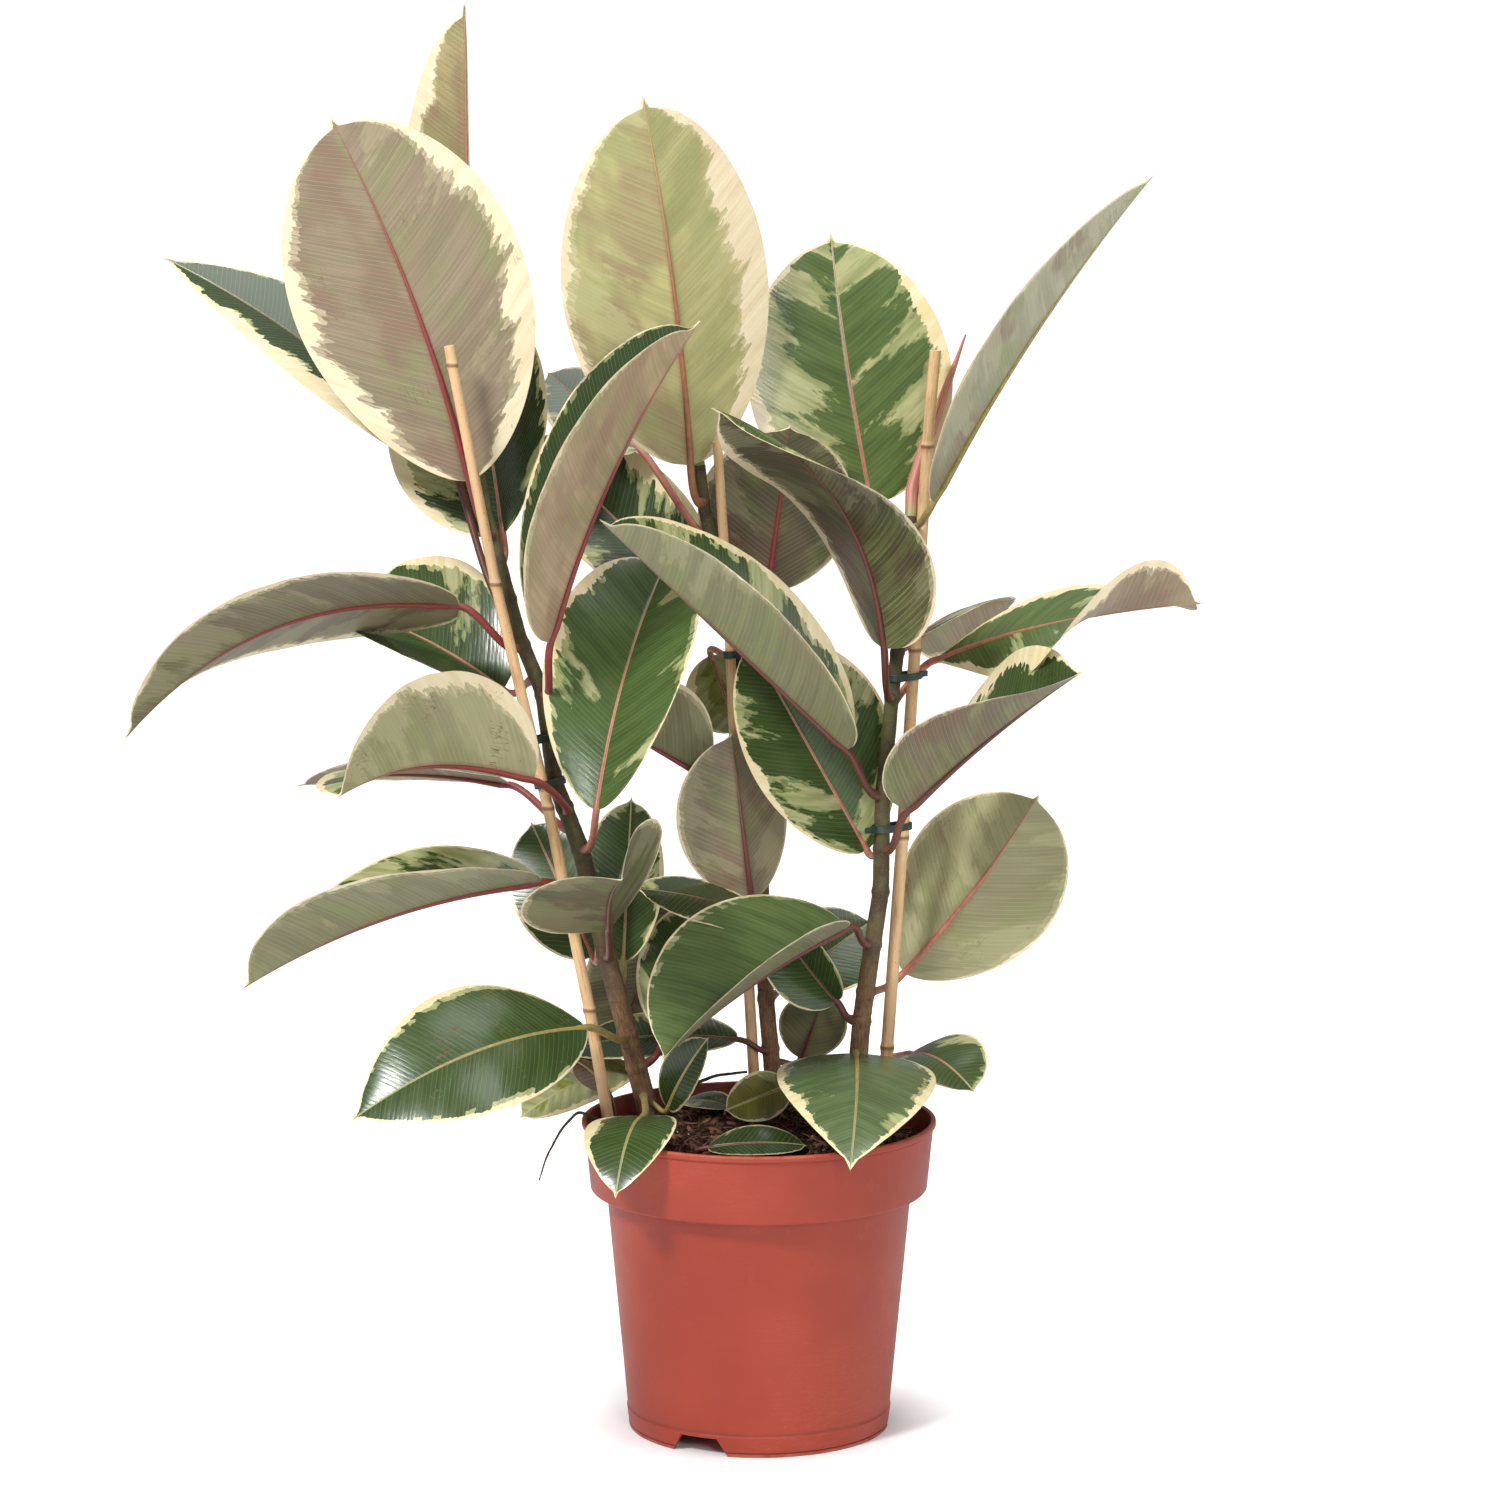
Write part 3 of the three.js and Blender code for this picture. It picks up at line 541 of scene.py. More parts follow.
# %% The rod tree
ROD_SIZES = {"Sides": "Int", "Unevenness": "Float", "Grain": "Float", "Seed": "Float", "Finish": "Material"}
rod_tree, nodes, given = new_tree("Rod", ROD_SIZES)
path = nodes.add("GeometryNodeMeshToCurve", inputs={0: given["Geometry"]})
path = store(nodes, path, "along", nodes.add("GeometryNodeSplineParameter", output="Length"), "FLOAT")
circle = nodes.add("GeometryNodeCurvePrimitiveCircle", inputs={"Resolution": given["Sides"], "Radius": 1})
circle = store(nodes, circle, "ring", nodes.add("GeometryNodeInputPosition"))
sweep = {"Curve": path, "Profile Curve": circle, "Scale": recall(nodes, "radius", "FLOAT"), "Fill Caps": True}
rod = nodes.add("GeometryNodeCurveToMesh", inputs=sweep)
spot = nodes.add("GeometryNodeInputPosition")
lumps = nodes.noise(spot + given["Seed"], given["Grain"], 3) - 0.5
normal = nodes.add("GeometryNodeInputNormal")
rod = move_to(nodes, rod, spot + normal * (lumps * 2 * given["Unevenness"]))
end_tree(nodes, coat(nodes, rod, given["Finish"]))


def make_rod(name, points, radii, finish, sides=20, unevenness=0.0, grain=300.0, seed=0.0):
    """A rod through points with a radius at each, in mm. Grain is how fine its unevenness is."""
    start = bpy.data.meshes.new(name)
    start.from_pydata([place(point) for point in points], [(i, i + 1) for i in range(len(points) - 1)], [])
    radius = start.attributes.new("radius", "FLOAT", "POINT")
    radius.data.foreach_set("value", [r * MM for r in radii])
    values = {"Sides": sides, "Unevenness": unevenness * MM, "Grain": grain, "Seed": seed, "Finish": finish}
    piece = grow(name, rod_tree, values, start)
    sharpen(piece.data, 50)
    return piece


def on_rod(nodes, around, along):
    """A place on a rod's skin, counted round it and along it, so that a pattern can be stretched."""
    ring_x, ring_y, _ = read(nodes, "ring").split()
    return nodes.join(ring_x * around, ring_y * around, read(nodes, "along", "Fac") * along)


print("rod tree nodes:", len(rod_tree.nodes))

# %% [markdown]
# ## Bark
# Low down the stems are woody: grey-brown, with fine cracks along them and small pale corky dots.
# Higher up they are still green under a brown bloom. Thin dark rings run round them, and each leaf
# scar is a low swelling. Noise that is stretched along the stem gives the cracks, noise squeezed along
# it the rings, small rounded cells the dots, and the height in the plant turns wood to green.

# %% Bark material
bark, nodes, shader = new_material("woody stem bark")
tones = palette(crack="#64422d", ridge="#a17a55", stain="#6f5a39", young="#55512d", bloom="#433521",
                cork="#9b8664", band="#33231a")
where = on_piece(nodes)
_, _, height = where.split()
cracks = nodes.noise(on_rod(nodes, 6, 90), 1.6, 5, 0.65)
bands = nodes.noise(on_rod(nodes, 1, 420), 1, 2)
blotch = nodes.noise(where, 45, 4, 0.6)
cells = nodes.add("ShaderNodeTexVoronoi", inputs={"Vector": on_rod(nodes, 3, 700), "Scale": 1})
dots = 1 - cells.rise(0.12, 0.2)
green = (height + blotch * 0.16).rise(0.3, 0.46)
wood = nodes.mix(tones.crack, tones.ridge, cracks.rise(0.35, 0.7))
wood = nodes.mix(wood, tones.stain, blotch.rise(0.45, 0.65) * 0.7)
fresh = nodes.mix(tones.young, tones.bloom, blotch.rise(0.42, 0.62))
colour = nodes.mix(wood, fresh, green)
colour = nodes.mix(colour, tones.cork, dots * 0.55)
colour = nodes.mix(colour, tones.band, bands.rise(0.6, 0.72) * 0.55)
dress(nodes, shader, colour, 0.5 + cracks * 0.3, cracks + dots * 0.35 + bands * 0.3, 0.6, 0.0008)
print("bark nodes:", len(bark.node_tree.nodes))

# %% Bud material
bud_skin, nodes, shader = new_material("pink bud sheath")
tones = palette(rose="#b5655a", pale="#cf9a85", foot="#8f9a62")
streaks = nodes.noise(on_rod(nodes, 3, 12), 1.5, 4)
pink = nodes.mix(tones.rose, tones.pale, streaks.rise(0.35, 0.65))
pink = nodes.mix(tones.foot, pink, read(nodes, "along", "Fac").rise(0.0, 0.02))
dress(nodes, shader, pink, 0.38, streaks, 0.4, 0.0004)
print("bud nodes:", len(bud_skin.node_tree.nodes))

# %% Stems and buds
SCAR_SWELL = 0.14  # share by which a leaf scar widens the stem
SCAR_REACH = 2.3  # mm above and below a scar over which it does


def scar_swell(stem, z):
    """How much wider than its plain radius a stem is at a height."""
    return 1 + sum(SCAR_SWELL * math.exp(-((z - s) / SCAR_REACH) ** 2) for s in stem["scars"])


def bud_radius(bud, z):
    """The radius of a bud at a height, between those of the two points round it."""
    for low, high in zip(bud, bud[1:]):
        if z <= high[2]:
            return low[3] + (high[3] - low[3]) * (z - low[2]) / (high[2] - low[2])


for number, (side, stem) in enumerate(STEMS.items()):
    points = eased(filled(stem["route"], STATION), 6)
    radii = [radius_at(stem, p.z) * scar_swell(stem, p.z) for p in points]
    piece = make_rod(f"{side}_stem", points, radii, bark,
                     sides=24, unevenness=0.35, grain=260, seed=number * 0.37)
    settle(piece, "stem", f"stem_{side}")
    sheath = eased(filled([point[:3] for point in stem["bud"]], STATION), 8)
    radii = [bud_radius(stem["bud"], p.z) for p in sheath]
    settle(make_rod(f"{side}_bud", sheath, radii, bud_skin, sides=16), "stem", f"stem_{side}")
print("stems:", {side: len(stem["scars"]) for side, stem in STEMS.items()}, "scars each")

# %% [markdown]
# ## Bamboo canes
# A garden cane is thin bamboo, straw-coloured with a satin skin. Long fine fibres run along it, it has
# brown stains and a few dark specks, and each joint is a low ring with a dark line. The joints are at
# the inner points of each route.

# %% Bamboo material
bamboo, nodes, shader = new_material("bamboo cane")
tones = palette(straw="#d4a875", pale="#eeca9e", stain="#b07c4c", speck="#4f331e", joint="#6b4526")
joint = read(nodes, "joint", "Fac")
fibres = nodes.noise(on_rod(nodes, 9, 14), 2, 5, 0.7)
stains = nodes.noise(on_rod(nodes, 1, 30), 1.1, 4, 0.6)
specks = nodes.noise(on_rod(nodes, 3, 260), 1.6, 2)
straw = nodes.mix(tones.straw, tones.pale, fibres.rise(0.3, 0.7))
straw = nodes.mix(straw, tones.stain, stains.rise(0.52, 0.72) * 0.7)
straw = nodes.mix(straw, tones.speck, specks.rise(0.68, 0.74) * 0.8)
straw = nodes.mix(straw, tones.joint, joint.rise(0.45, 0.95) * 0.8)
dress(nodes, shader, straw, 0.42 + stains * 0.25, fibres + joint, 0.45, 0.0004)
print("bamboo nodes:", len(bamboo.node_tree.nodes))

# %% Canes
JOINT_SWELL = 0.16  # share by which a joint widens the cane
JOINT_REACH = 2.2  # mm


def joint_swell(cane, z):
    """1 in the middle of a joint of the bamboo, and 0 away from it."""
    return sum(math.exp(-((z - p[2]) / JOINT_REACH) ** 2) for p in cane["route"][1:-1])


for number, (side, cane) in enumerate(CANES.items()):
    points = eased(filled(cane["route"], STATION), 4)
    radii = [radius_at(cane, p.z) * (1 + JOINT_SWELL * joint_swell(cane, p.z)) for p in points]
    piece = make_rod(f"{side}_cane", points, radii, bamboo, unevenness=0.12, grain=120, seed=number * 0.53)
    mark = piece.data.attributes.new("joint", "FLOAT", "POINT")
    mark.data.foreach_set("value", [joint_swell(cane, v.co.z / MM) for v in piece.data.vertices])
    settle(piece, "bamboo", f"cane_{side}")
print("canes:", {side: len(cane["route"]) - 2 for side, cane in CANES.items()}, "joints each")

# %% [markdown]
# ## Ties
# Each stem is held to its cane by a dark green plastic clip: a flat band round both, with a little
# box where it closes and a square tail that sticks out. A band like this is a loop whose section has
# rounded corners, so it is built ring by ring along an oval outline round the two rods.

# %% Tie material
tie_plastic, nodes, shader = new_material("dark green tie plastic")
tones = palette(deep="#1f3027", dull="#3a4d42")
mould = nodes.noise(on_piece(nodes), 900, 3)
dull = nodes.noise(on_piece(nodes), 120, 3)
colour = nodes.mix(tones.deep, tones.dull, dull.rise(0.35, 0.7))
dress(nodes, shader, colour, 0.32 + dull * 0.25, mould, 0.25, 0.0002)
print("tie nodes:", len(tie_plastic.node_tree.nodes))

# %% Band, head and tail of a tie
BAND = {"height": 5, "thickness": 1.2, "clearance": 0.8, "corner": 0.35}  # mm
TAIL = {"start": 0.2, "length": 8.5, "thickness": 1.6, "height": 0.8}  # its height is a share of the band's
HEAD = {"start": -0.1, "length": 3.2, "half width": 2.1}


def oval(apart, first, second, steps=14):
    """Points round two circles of the given radii that lie apart on the x axis."""
    lean = math.asin((first - second) / apart)
    side = math.pi / 2 - lean
    end = [(apart, second, -side + 2 * side * i / steps) for i in range(steps + 1)]
    end += [(0, first, side + 2 * (math.pi - side) * i / steps) for i in range(steps + 1)]
    return [Vector((cx + r * math.cos(a), r * math.sin(a), 0)) for cx, r, a in end]


def bevelled_box(mesh, low, high, corner):
    """Adds a box with rounded edges between two corners."""
    made = bmesh.ops.create_cube(mesh, size=1)
    size = Vector(high) - Vector(low)
    for vertex in made["verts"]:
        vertex.co = Vector(low) + Vector((c + 0.5) * s for c, s in zip(vertex.co, size))
    edges = {edge for vertex in made["verts"] for edge in vertex.link_edges}
    bmesh.ops.bevel(mesh, geom=list(edges), offset=corner, segments=2, affect="EDGES")


def tie_shape(apart, radii, tail_side):
    """A tie in its own frame: stem at the origin, cane on +X, height along Z."""
    mesh = bmesh.new()
    b = BAND
    inner, outer = [oval(apart, radii[0] + gap, radii[1] + gap)
                    for gap in (b["clearance"], b["clearance"] + b["thickness"])]
    c, h = b["corner"], b["height"] / 2
    section = [(0, -h + c), (0, h - c), (c, h), (1 - c, h), (1, h - c), (1, -h + c), (1 - c, -h), (c, -h)]
    rings = []
    for inside, outside in zip(inner, outer):
        rings.append([mesh.verts.new(inside.lerp(outside, s) + Vector((0, 0, z))) for s, z in section])
    for ring, following in zip(rings, rings[1:] + rings[:1]):
        for j in range(len(section)):
            k = (j + 1) % len(section)
            mesh.faces.new((ring[j], following[j], following[k], ring[k]))
    edge = apart + radii[1] if tail_side > 0 else -radii[0]
    tail_ends = (TAIL["start"], b["clearance"] + TAIL["length"])
    head_ends = (HEAD["start"], HEAD["length"])
    for ends, half, top in ((tail_ends, TAIL["thickness"] / 2, h * TAIL["height"]),
                            (head_ends, HEAD["half width"], h)):
        reach = [edge + tail_side * (b["clearance"] + d) for d in ends]
        bevelled_box(mesh, (min(reach), -half, -top), (max(reach), half, top), c)
    bmesh.ops.recalc_face_normals(mesh, faces=mesh.faces)
    return mesh


print("oval of a tie:", len(oval(30, 8, 5)), "points")


# %% Ties in their places
TIES = {  # stem, height in mm, and 1 where the tail is on the cane's side
    "tie_1": ("left", 468, 1), "tie_2": ("left", 438, -1), "tie_3": ("middle", 522, -1),
    "tie_4": ("right", 507, 1), "tie_5": ("right", 404, -1),
}
for name, (side, height, tail_side) in TIES.items():
    stem, cane = at_height(STEMS[side], height), at_height(CANES[side], height)
    radii = [radius_at(STEMS[side], height), radius_at(CANES[side], height)]
    shape = tie_shape((cane - stem).length, radii, tail_side)
    across = (cane - stem).normalized()
    higher = height + 20
    climb = at_height(STEMS[side], higher) + at_height(CANES[side], higher) - stem - cane
    up = (climb - across * climb.dot(across)).normalized()
    for vertex in shape.verts:
        x, y, z = vertex.co
        vertex.co = place(stem + across * x + up.cross(across) * y + up * z)
    mesh = finished_mesh(f"{name}_clip", shape)
    mesh.shade_smooth()
    sharpen(mesh, 40)
    mesh.materials.append(tie_plastic)
    settle(new_object(f"{name}_clip", mesh), "tie_plastic", name)
print("ties:", len(TIES))

# %% [markdown]
# ## Variegation
# The same cells make both faces of a leaf, so the pattern shows through on the underside in duller
# colours. Cream, grey-green and dark green meet in jagged edges that follow the side veins, which
# leave the midrib nearly squarely. A coordinate that stays the same along a side vein is the key: noise
# in it pushes the border of the cream in and out vein by vein, and noise that is stretched along the
# veins makes the patches. The leaf carries its own length, width and colours as attributes, so one
# material serves all leaves.

# %% Where a point lies on its leaf
VEIN_LEAN = 0.55  # how far a side vein runs towards the tip for each metre outwards
VEIN_BEND = 1.6  # how much more it leans towards the margin


def leaf_place(nodes):
    """Coordinates of a point on its leaf, in metres and as shares, and the leaf's own numbers."""
    run, out, rim = read(nodes, "flat").split()
    u, v, seed = read(nodes, "place").split()
    cream_share, grey_share, marks = read(nodes, "shares").split()
    distance = abs(out)
    side = out.do("SIGN")
    vein = run - distance * VEIN_LEAN - distance * distance * VEIN_BEND
    return {
        "run": run, "out": distance, "rim": rim, "u": u, "aside": abs(v), "side": side, "vein": vein,
        "start": seed * 7.3 + side * 2.1, "cream share": cream_share, "grey share": grey_share,
        "marks": marks,
    }


def veined(nodes, p, along, across, shift, detail=1, roughness=0.5):
    """Noise whose cells follow the side veins: so many to a metre of midrib, so many outwards."""
    where = nodes.join(p["vein"] * along, p["out"] * across, p["start"] + shift)
    return nodes.noise(where, 1, detail, roughness)


lean = 0.06 * VEIN_LEAN + 0.06 ** 2 * VEIN_BEND
print("60 mm out, a side vein has run on by", round(lean / MM), "mm")


# %% Pattern of a leaf
VEINS = 285  # side veins to a metre of midrib


def variegation(nodes):
    """A leaf's coordinates, and the masks of its pattern: cream, fringe, grey, mid and veins."""
    p = leaf_place(nodes)
    # Noise of three sizes: slow changes, patches and jags
    low = veined(nodes, p, 19, 6, 0)
    patch = veined(nodes, p, 85, 32, 4, 2, 0.6)
    jag = veined(nodes, p, 260, 110, 9, 2, 0.6)
    # Cream begins where the way out to the margin, made ragged by noise, passes 1 less the cream's share
    ragged = (0.12 + p["cream share"] * 2.8).do("MINIMUM", 1)
    far = p["aside"] + ((low - 0.5) * 0.75 + (patch - 0.5) * 0.6 + (jag - 0.5) * 0.3) * ragged
    has_cream = p["cream share"].rise(0.0, 0.04)
    inner = far.rise(0.994 - p["cream share"], 1.006 - p["cream share"])
    band = 1 - (p["rim"] + (patch - 0.5) * 0.004 + (jag - 0.5) * 0.003).rise(0.0012, 0.0016)
    fringe = far.rise(0.93 - p["cream share"], 0.935 - p["cream share"]) * has_cream
    # Grey-green patches, each with a rim of a tone between
    wide = veined(nodes, p, 34, 9, 17)
    field = wide + (patch - 0.5) * 0.45 + (jag - 0.5) * 0.24 + p["aside"] * 0.22
    limit = 0.86 - p["grey share"] * 0.5
    # Pale threads along the side veins, each vein with a strength of its own
    row = p["vein"] * VEINS + (low - 0.5) * 3
    lines = abs(row.do("FRACT") - 0.5) * 2
    strength = nodes.add("ShaderNodeTexWhiteNoise", {"noise_dimensions": "1D"}, {"W": row.do("FLOOR")})
    return {
        **p, "patch": patch, "jag": jag, "cream": inner.do("MAXIMUM", band * has_cream),
        "fringe": fringe, "grey": field.rise(limit - 0.004, limit + 0.004),
        "mid": field.rise(limit - 0.034, limit - 0.028),
        "threads": lines.rise(0.78, 1.0) * (0.35 + strength * 0.65), "quilt": 1 - lines * lines,
    }


def scars(nodes, p):
    """Thin brown scratches across the veins and small corky specks, where a leaf has marks."""
    thin = nodes.noise(nodes.join(p["run"] * 60, p["out"] * 210, p["start"] + 31), 1, 2)
    gaps = nodes.noise(nodes.join(p["run"] * 42, p["out"] * 30, p["start"] + 37), 1, 1)
    scratch = (1 - abs(thin - 0.5).rise(0.006, 0.018)) * gaps.rise(0.6, 0.66)
    specks = nodes.noise(nodes.join(p["run"] * 420, p["out"] * 420, p["start"]), 1, 1).rise(0.77, 0.8)
    return scratch * p["marks"], specks * (0.25 + p["marks"] * 0.75)


print("side veins on a leaf 240 mm long:", round(VEINS * 0.24))

# %% Upper face of a leaf
SHADE = (0.02, 0.035, 0.008, 1)  # a dark green in linear light, for the hollows between veins
upper_face, nodes, shader = new_material("leaf upper face")
tones = palette(thread="#9aa66c", mid="#98a06a", grey="#8f9562", pale_grey="#aeae7e", grey_thread="#c0bd92",
                cream="#e0cf9e", pale_cream="#eadcb6", rib_foot="#d5cf9c", rib_tip="#c9cd98", scar="#6b4a2c")
p = variegation(nodes)
main = read(nodes, "main", "Color")
rib = read(nodes, "rib", "Color")
cloud = veined(nodes, p, 160, 25, 23, 3)
field = nodes.mix(nodes.mix(main, SHADE, 0.4), main, cloud.rise(0.3, 0.65))
field = nodes.mix(field, nodes.mix(main, tones.thread, 0.6), p["threads"] * 0.5)
field = nodes.mix(field, nodes.mix(main, tones.mid, 0.5), p["mid"])
streaks = nodes.mix(tones.grey, tones.pale_grey, cloud.rise(0.38, 0.62))
patches = p["grey"].do("MAXIMUM", p["fringe"] * p["patch"].rise(0.5, 0.52))
field = nodes.mix(field, nodes.mix(streaks, tones.grey_thread, p["threads"] * 0.4), patches)
field = nodes.mix(field, nodes.mix(tones.cream, tones.pale_cream, cloud.rise(0.35, 0.65)), p["cream"])
midrib = 1 - (p["out"] * 1000).rise(1.2 - p["u"] * 0.8, 1.7 - p["u"] * 1.1)
rib_tone = nodes.mix(nodes.mix(rib, tones.rib_foot, 0.45), tones.rib_tip, p["u"].rise(0.35, 0.95))
field = nodes.mix(field, rib_tone, midrib * 0.9)
scratch, specks = scars(nodes, p)
field = nodes.mix(field, tones.scar, scratch.do("MAXIMUM", specks) * 0.8)
relief = p["quilt"] * 0.1 + midrib * -0.7 + p["jag"] * 0.4 + cloud * 0.5
dress(nodes, shader, field, 0.19 + cloud * 0.12 + scratch * 0.3, relief, 0.5, 0.0006)
print("upper face nodes:", len(upper_face.node_tree.nodes))

# %% Underside of a leaf
lower_face, nodes, shader = new_material("leaf underside")
tones = palette(soft="#7d8a4e", blush="#7e5b4b", cloud="#332b1c", brush="#38331f", mid="#a9a67c",
                grey="#bdb98f", thread="#d8cfa8", cream="#e3d0aa", pale_cream="#eee1be", scar="#6b4a2c")
p = variegation(nodes)
under = read(nodes, "under", "Color")
rib = read(nodes, "rib", "Color")
cloud = veined(nodes, p, 120, 12, 23, 3)
soft = veined(nodes, p, 28, 20, 51, 2)
blush = veined(nodes, p, 22, 30, 57, 2)
brush = veined(nodes, p, 520, 12, 63, 2, 0.6)
field = nodes.mix(under, nodes.mix(under, tones.soft, 0.55), soft.rise(0.42, 0.62))
flushed = blush.rise(0.45, 0.64) * (0.65 + p["side"] * 0.35)  # pink, and more on one half
field = nodes.mix(field, nodes.mix(under, tones.blush, 0.6), flushed)
field = nodes.mix(field, nodes.mix(under, tones.cloud, 0.34), cloud.rise(0.46, 0.68) * 0.6)
field = nodes.mix(field, nodes.mix(under, tones.brush, 0.28), brush.rise(0.42, 0.66) * 0.7)
field = nodes.mix(field, nodes.mix(under, tones.mid, 0.35), p["mid"] * 0.35)
field = nodes.mix(field, nodes.mix(under, tones.grey, 0.4), p["grey"] * 0.4)
field = nodes.mix(field, nodes.mix(under, tones.thread, 0.7), p["threads"] * 0.36)
pale = nodes.mix(tones.cream, tones.pale_cream, cloud.rise(0.3, 0.7))
field = nodes.mix(field, pale, p["fringe"] * (0.12 + brush.rise(0.45, 0.55) * 0.3))
field = nodes.mix(field, pale, p["cream"])
flush = 1 - (p["out"] * 1000).rise(1.5, 5.0 - p["u"] * 3)  # the rib's red, close beside it
field = nodes.mix(field, rib, flush * 0.3 * (1 - p["u"].rise(0.4, 1.0)))
scratch, specks = scars(nodes, p)
field = nodes.mix(field, tones.scar, scratch.do("MAXIMUM", specks) * 0.85)
relief = p["threads"] * 0.4 + p["jag"] * 0.5 + cloud * 0.4
dress(nodes, shader, field, 0.46 + cloud * 0.14, relief, 0.5, 0.0005)
print("underside nodes:", len(lower_face.node_tree.nodes))

# %% Petiole and midrib
leaf_stalk, nodes, shader = new_material("petiole and midrib")
tones = palette(mottle="#5d3a2a", collar="#6a4a30")
rib = read(nodes, "rib", "Color")
under = read(nodes, "under", "Color")
u, run, _ = read(nodes, "place").split()
mottle = nodes.noise(on_piece(nodes), 260, 3)
stalk = nodes.mix(nodes.mix(rib, tones.mottle, 0.35), rib, mottle.rise(0.3, 0.65))
stalk = nodes.mix(stalk, tones.collar, (1 - run.rise(0.05, 0.3)) * 0.6)
stalk = nodes.mix(stalk, nodes.mix(under, rib, 0.45), u.rise(0.35, 1.0))
dress(nodes, shader, stalk, 0.42, mottle, 0.3, 0.0003)
print("petiole nodes:", len(leaf_stalk.node_tree.nodes))

# %% [markdown]
# ## The leaf
# A leaf is the main shape of this plant, and it follows one rule: an oval with a short drip tip,
# folded along an arched midrib, its margins curling slightly down. The oval is a power of the way from
# the base times a power of the way from the tip. Both powers are 0.5 in an ellipse, and other values
# move its widest place. So one Geometry Nodes tree grows all leaves from named sizes. A flat grid is
# bent into the blade twice, once for each face, and both faces meet at the margin. A thin rod that
# starts at the stem runs below it as petiole and midrib.

# %% Inputs of the leaf tree
LEAF_SIZES = {
    "Base": "Vector", "Tip": "Vector", "Half width": "Float", "Turn": "Float", "Bow": "Float",
    "Sway": "Float", "Fold left": "Float", "Fold right": "Float", "Close": "Float", "Twist": "Float",
    "Wave": "Float", "Base round": "Float", "Tip point": "Float", "Seed": "Float", "Rows": "Int",
    "Columns": "Int", "Cream left": "Float", "Cream right": "Float", "Cream to tip": "Float",
    "Grey": "Float", "Marks": "Float", "Main": "Vector", "Under": "Vector", "Rib": "Vector",
    "Stalk start": "Vector", "Stalk out": "Vector", "Stalk in": "Vector", "Stalk radius": "Float",
    "Upper face": "Material", "Lower face": "Material", "Stalk": "Material",
}
leaf_tree, nodes, given = new_tree("Leaf", LEAF_SIZES)
print("a leaf has", len(LEAF_SIZES), "inputs")


# %% Midrib and outline of the leaf
BODY_END = 0.965  # where the oval ends, as a share of the blade's length
BODY_TRIM = 0.1  # share by which the oval is slimmer at both ends than its powers make it
DRIP_START = 0.88  # from where the drip tip may show
DRIP_SLOPE = 0.1 / 0.07  # its half width, as a share of the greatest, for each share of length left


def turned(nodes, vector, axis, angle):
    """A vector turned about an axis."""
    inputs = {"Vector": vector, "Axis": axis, "Angle": angle}
    return nodes.add("ShaderNodeVectorRotate", {"rotation_type": "AXIS_ANGLE"}, inputs)


def leaf_frame(nodes, given, u):
    """Centre, right-hand side and upper normal of a leaf at u along its midrib."""
    chord = given["Tip"] - given["Base"]
    along = chord.do("NORMALIZE")
    front = nodes.join(0, -1, 0)
    face = (front - along * front.do("DOT_PRODUCT", along)).do("NORMALIZE")
    face = turned(nodes, face, along, given["Turn"])
    right = along.do("CROSS_PRODUCT", face)
    middle = given["Base"] + chord * 0.5 + face * (given["Bow"] * 2) + right * (given["Sway"] * 2)
    centre = given["Base"] * ((1 - u) * (1 - u)) + middle * (2 * u * (1 - u)) + given["Tip"] * (u * u)
    direction = ((middle - given["Base"]) * (1 - u) + (given["Tip"] - middle) * u).do("NORMALIZE")
    normal = (face - direction * face.do("DOT_PRODUCT", direction)).do("NORMALIZE")
    normal = turned(nodes, normal, direction, given["Twist"] * u * u)
    return centre, direction.do("CROSS_PRODUCT", normal), normal


def leaf_outline(given, u):
    """Half width at u as a share of the greatest: an oval that ends in a drip tip."""
    r = (u / BODY_END).do("MINIMUM", 1)
    first, last = given["Base round"], given["Tip point"]
    widest = first / (first + last)
    trim = 1 - BODY_TRIM * (2 * u - 1) ** 2
    body = (r / widest) ** first * ((1 - r) / (1 - widest)) ** last * trim
    drip = (1 - u) * DRIP_SLOPE * (u - DRIP_START).rise(0.0, 0.02)
    return body.do("MAXIMUM", drip)


print("the oval ends at", BODY_END, "of the blade, and the drip tip takes over")

# %% Blade of the leaf
CURL = 0.09  # share of the half width by which the margins turn down
THICKNESS = 0.0007  # metres, in the middle of the blade
EVEN_ROWS = 0.45  # share of even spacing from base to tip; the rest crowds the rows at both ends
EVEN_COLUMNS = 0.6  # the same across; the rest crowds the columns at the midrib
WELD = 0.00002  # metres


def blade_grid(nodes, given):
    """A flat grid that knows where each of its points lies on the leaf."""
    sizes = {"Size X": 2, "Size Y": 1, "Vertices X": given["Columns"], "Vertices Y": given["Rows"]}
    grid = nodes.add("GeometryNodeMeshGrid", inputs=sizes)
    x, y, _ = nodes.add("GeometryNodeInputPosition").split()
    share = y + 0.5
    crowded = 0.5 - 0.5 * (share * math.pi).do("COSINE")
    u = share * EVEN_ROWS + crowded * (1 - EVEN_ROWS)
    v = x * (EVEN_COLUMNS + (1 - EVEN_COLUMNS) * x * x)
    grid = store(nodes, grid, "place", nodes.join(u, v, given["Seed"]))
    half = given["Half width"] * leaf_outline(given, u)
    length = (given["Tip"] - given["Base"]).do("LENGTH")
    rim = half * (1 - abs(v))
    grid = store(nodes, grid, "flat", nodes.join(u * length, v * half, rim))
    on_right = v.do("GREATER_THAN", 0)
    cream = given["Cream left"] * (1 - on_right) + given["Cream right"] * on_right
    cream = cream * (1 + given["Cream to tip"] * (u * 2 - 1)).do("MAXIMUM", 0)
    return store(nodes, grid, "shares", nodes.join(cream, given["Grey"], given["Marks"]))


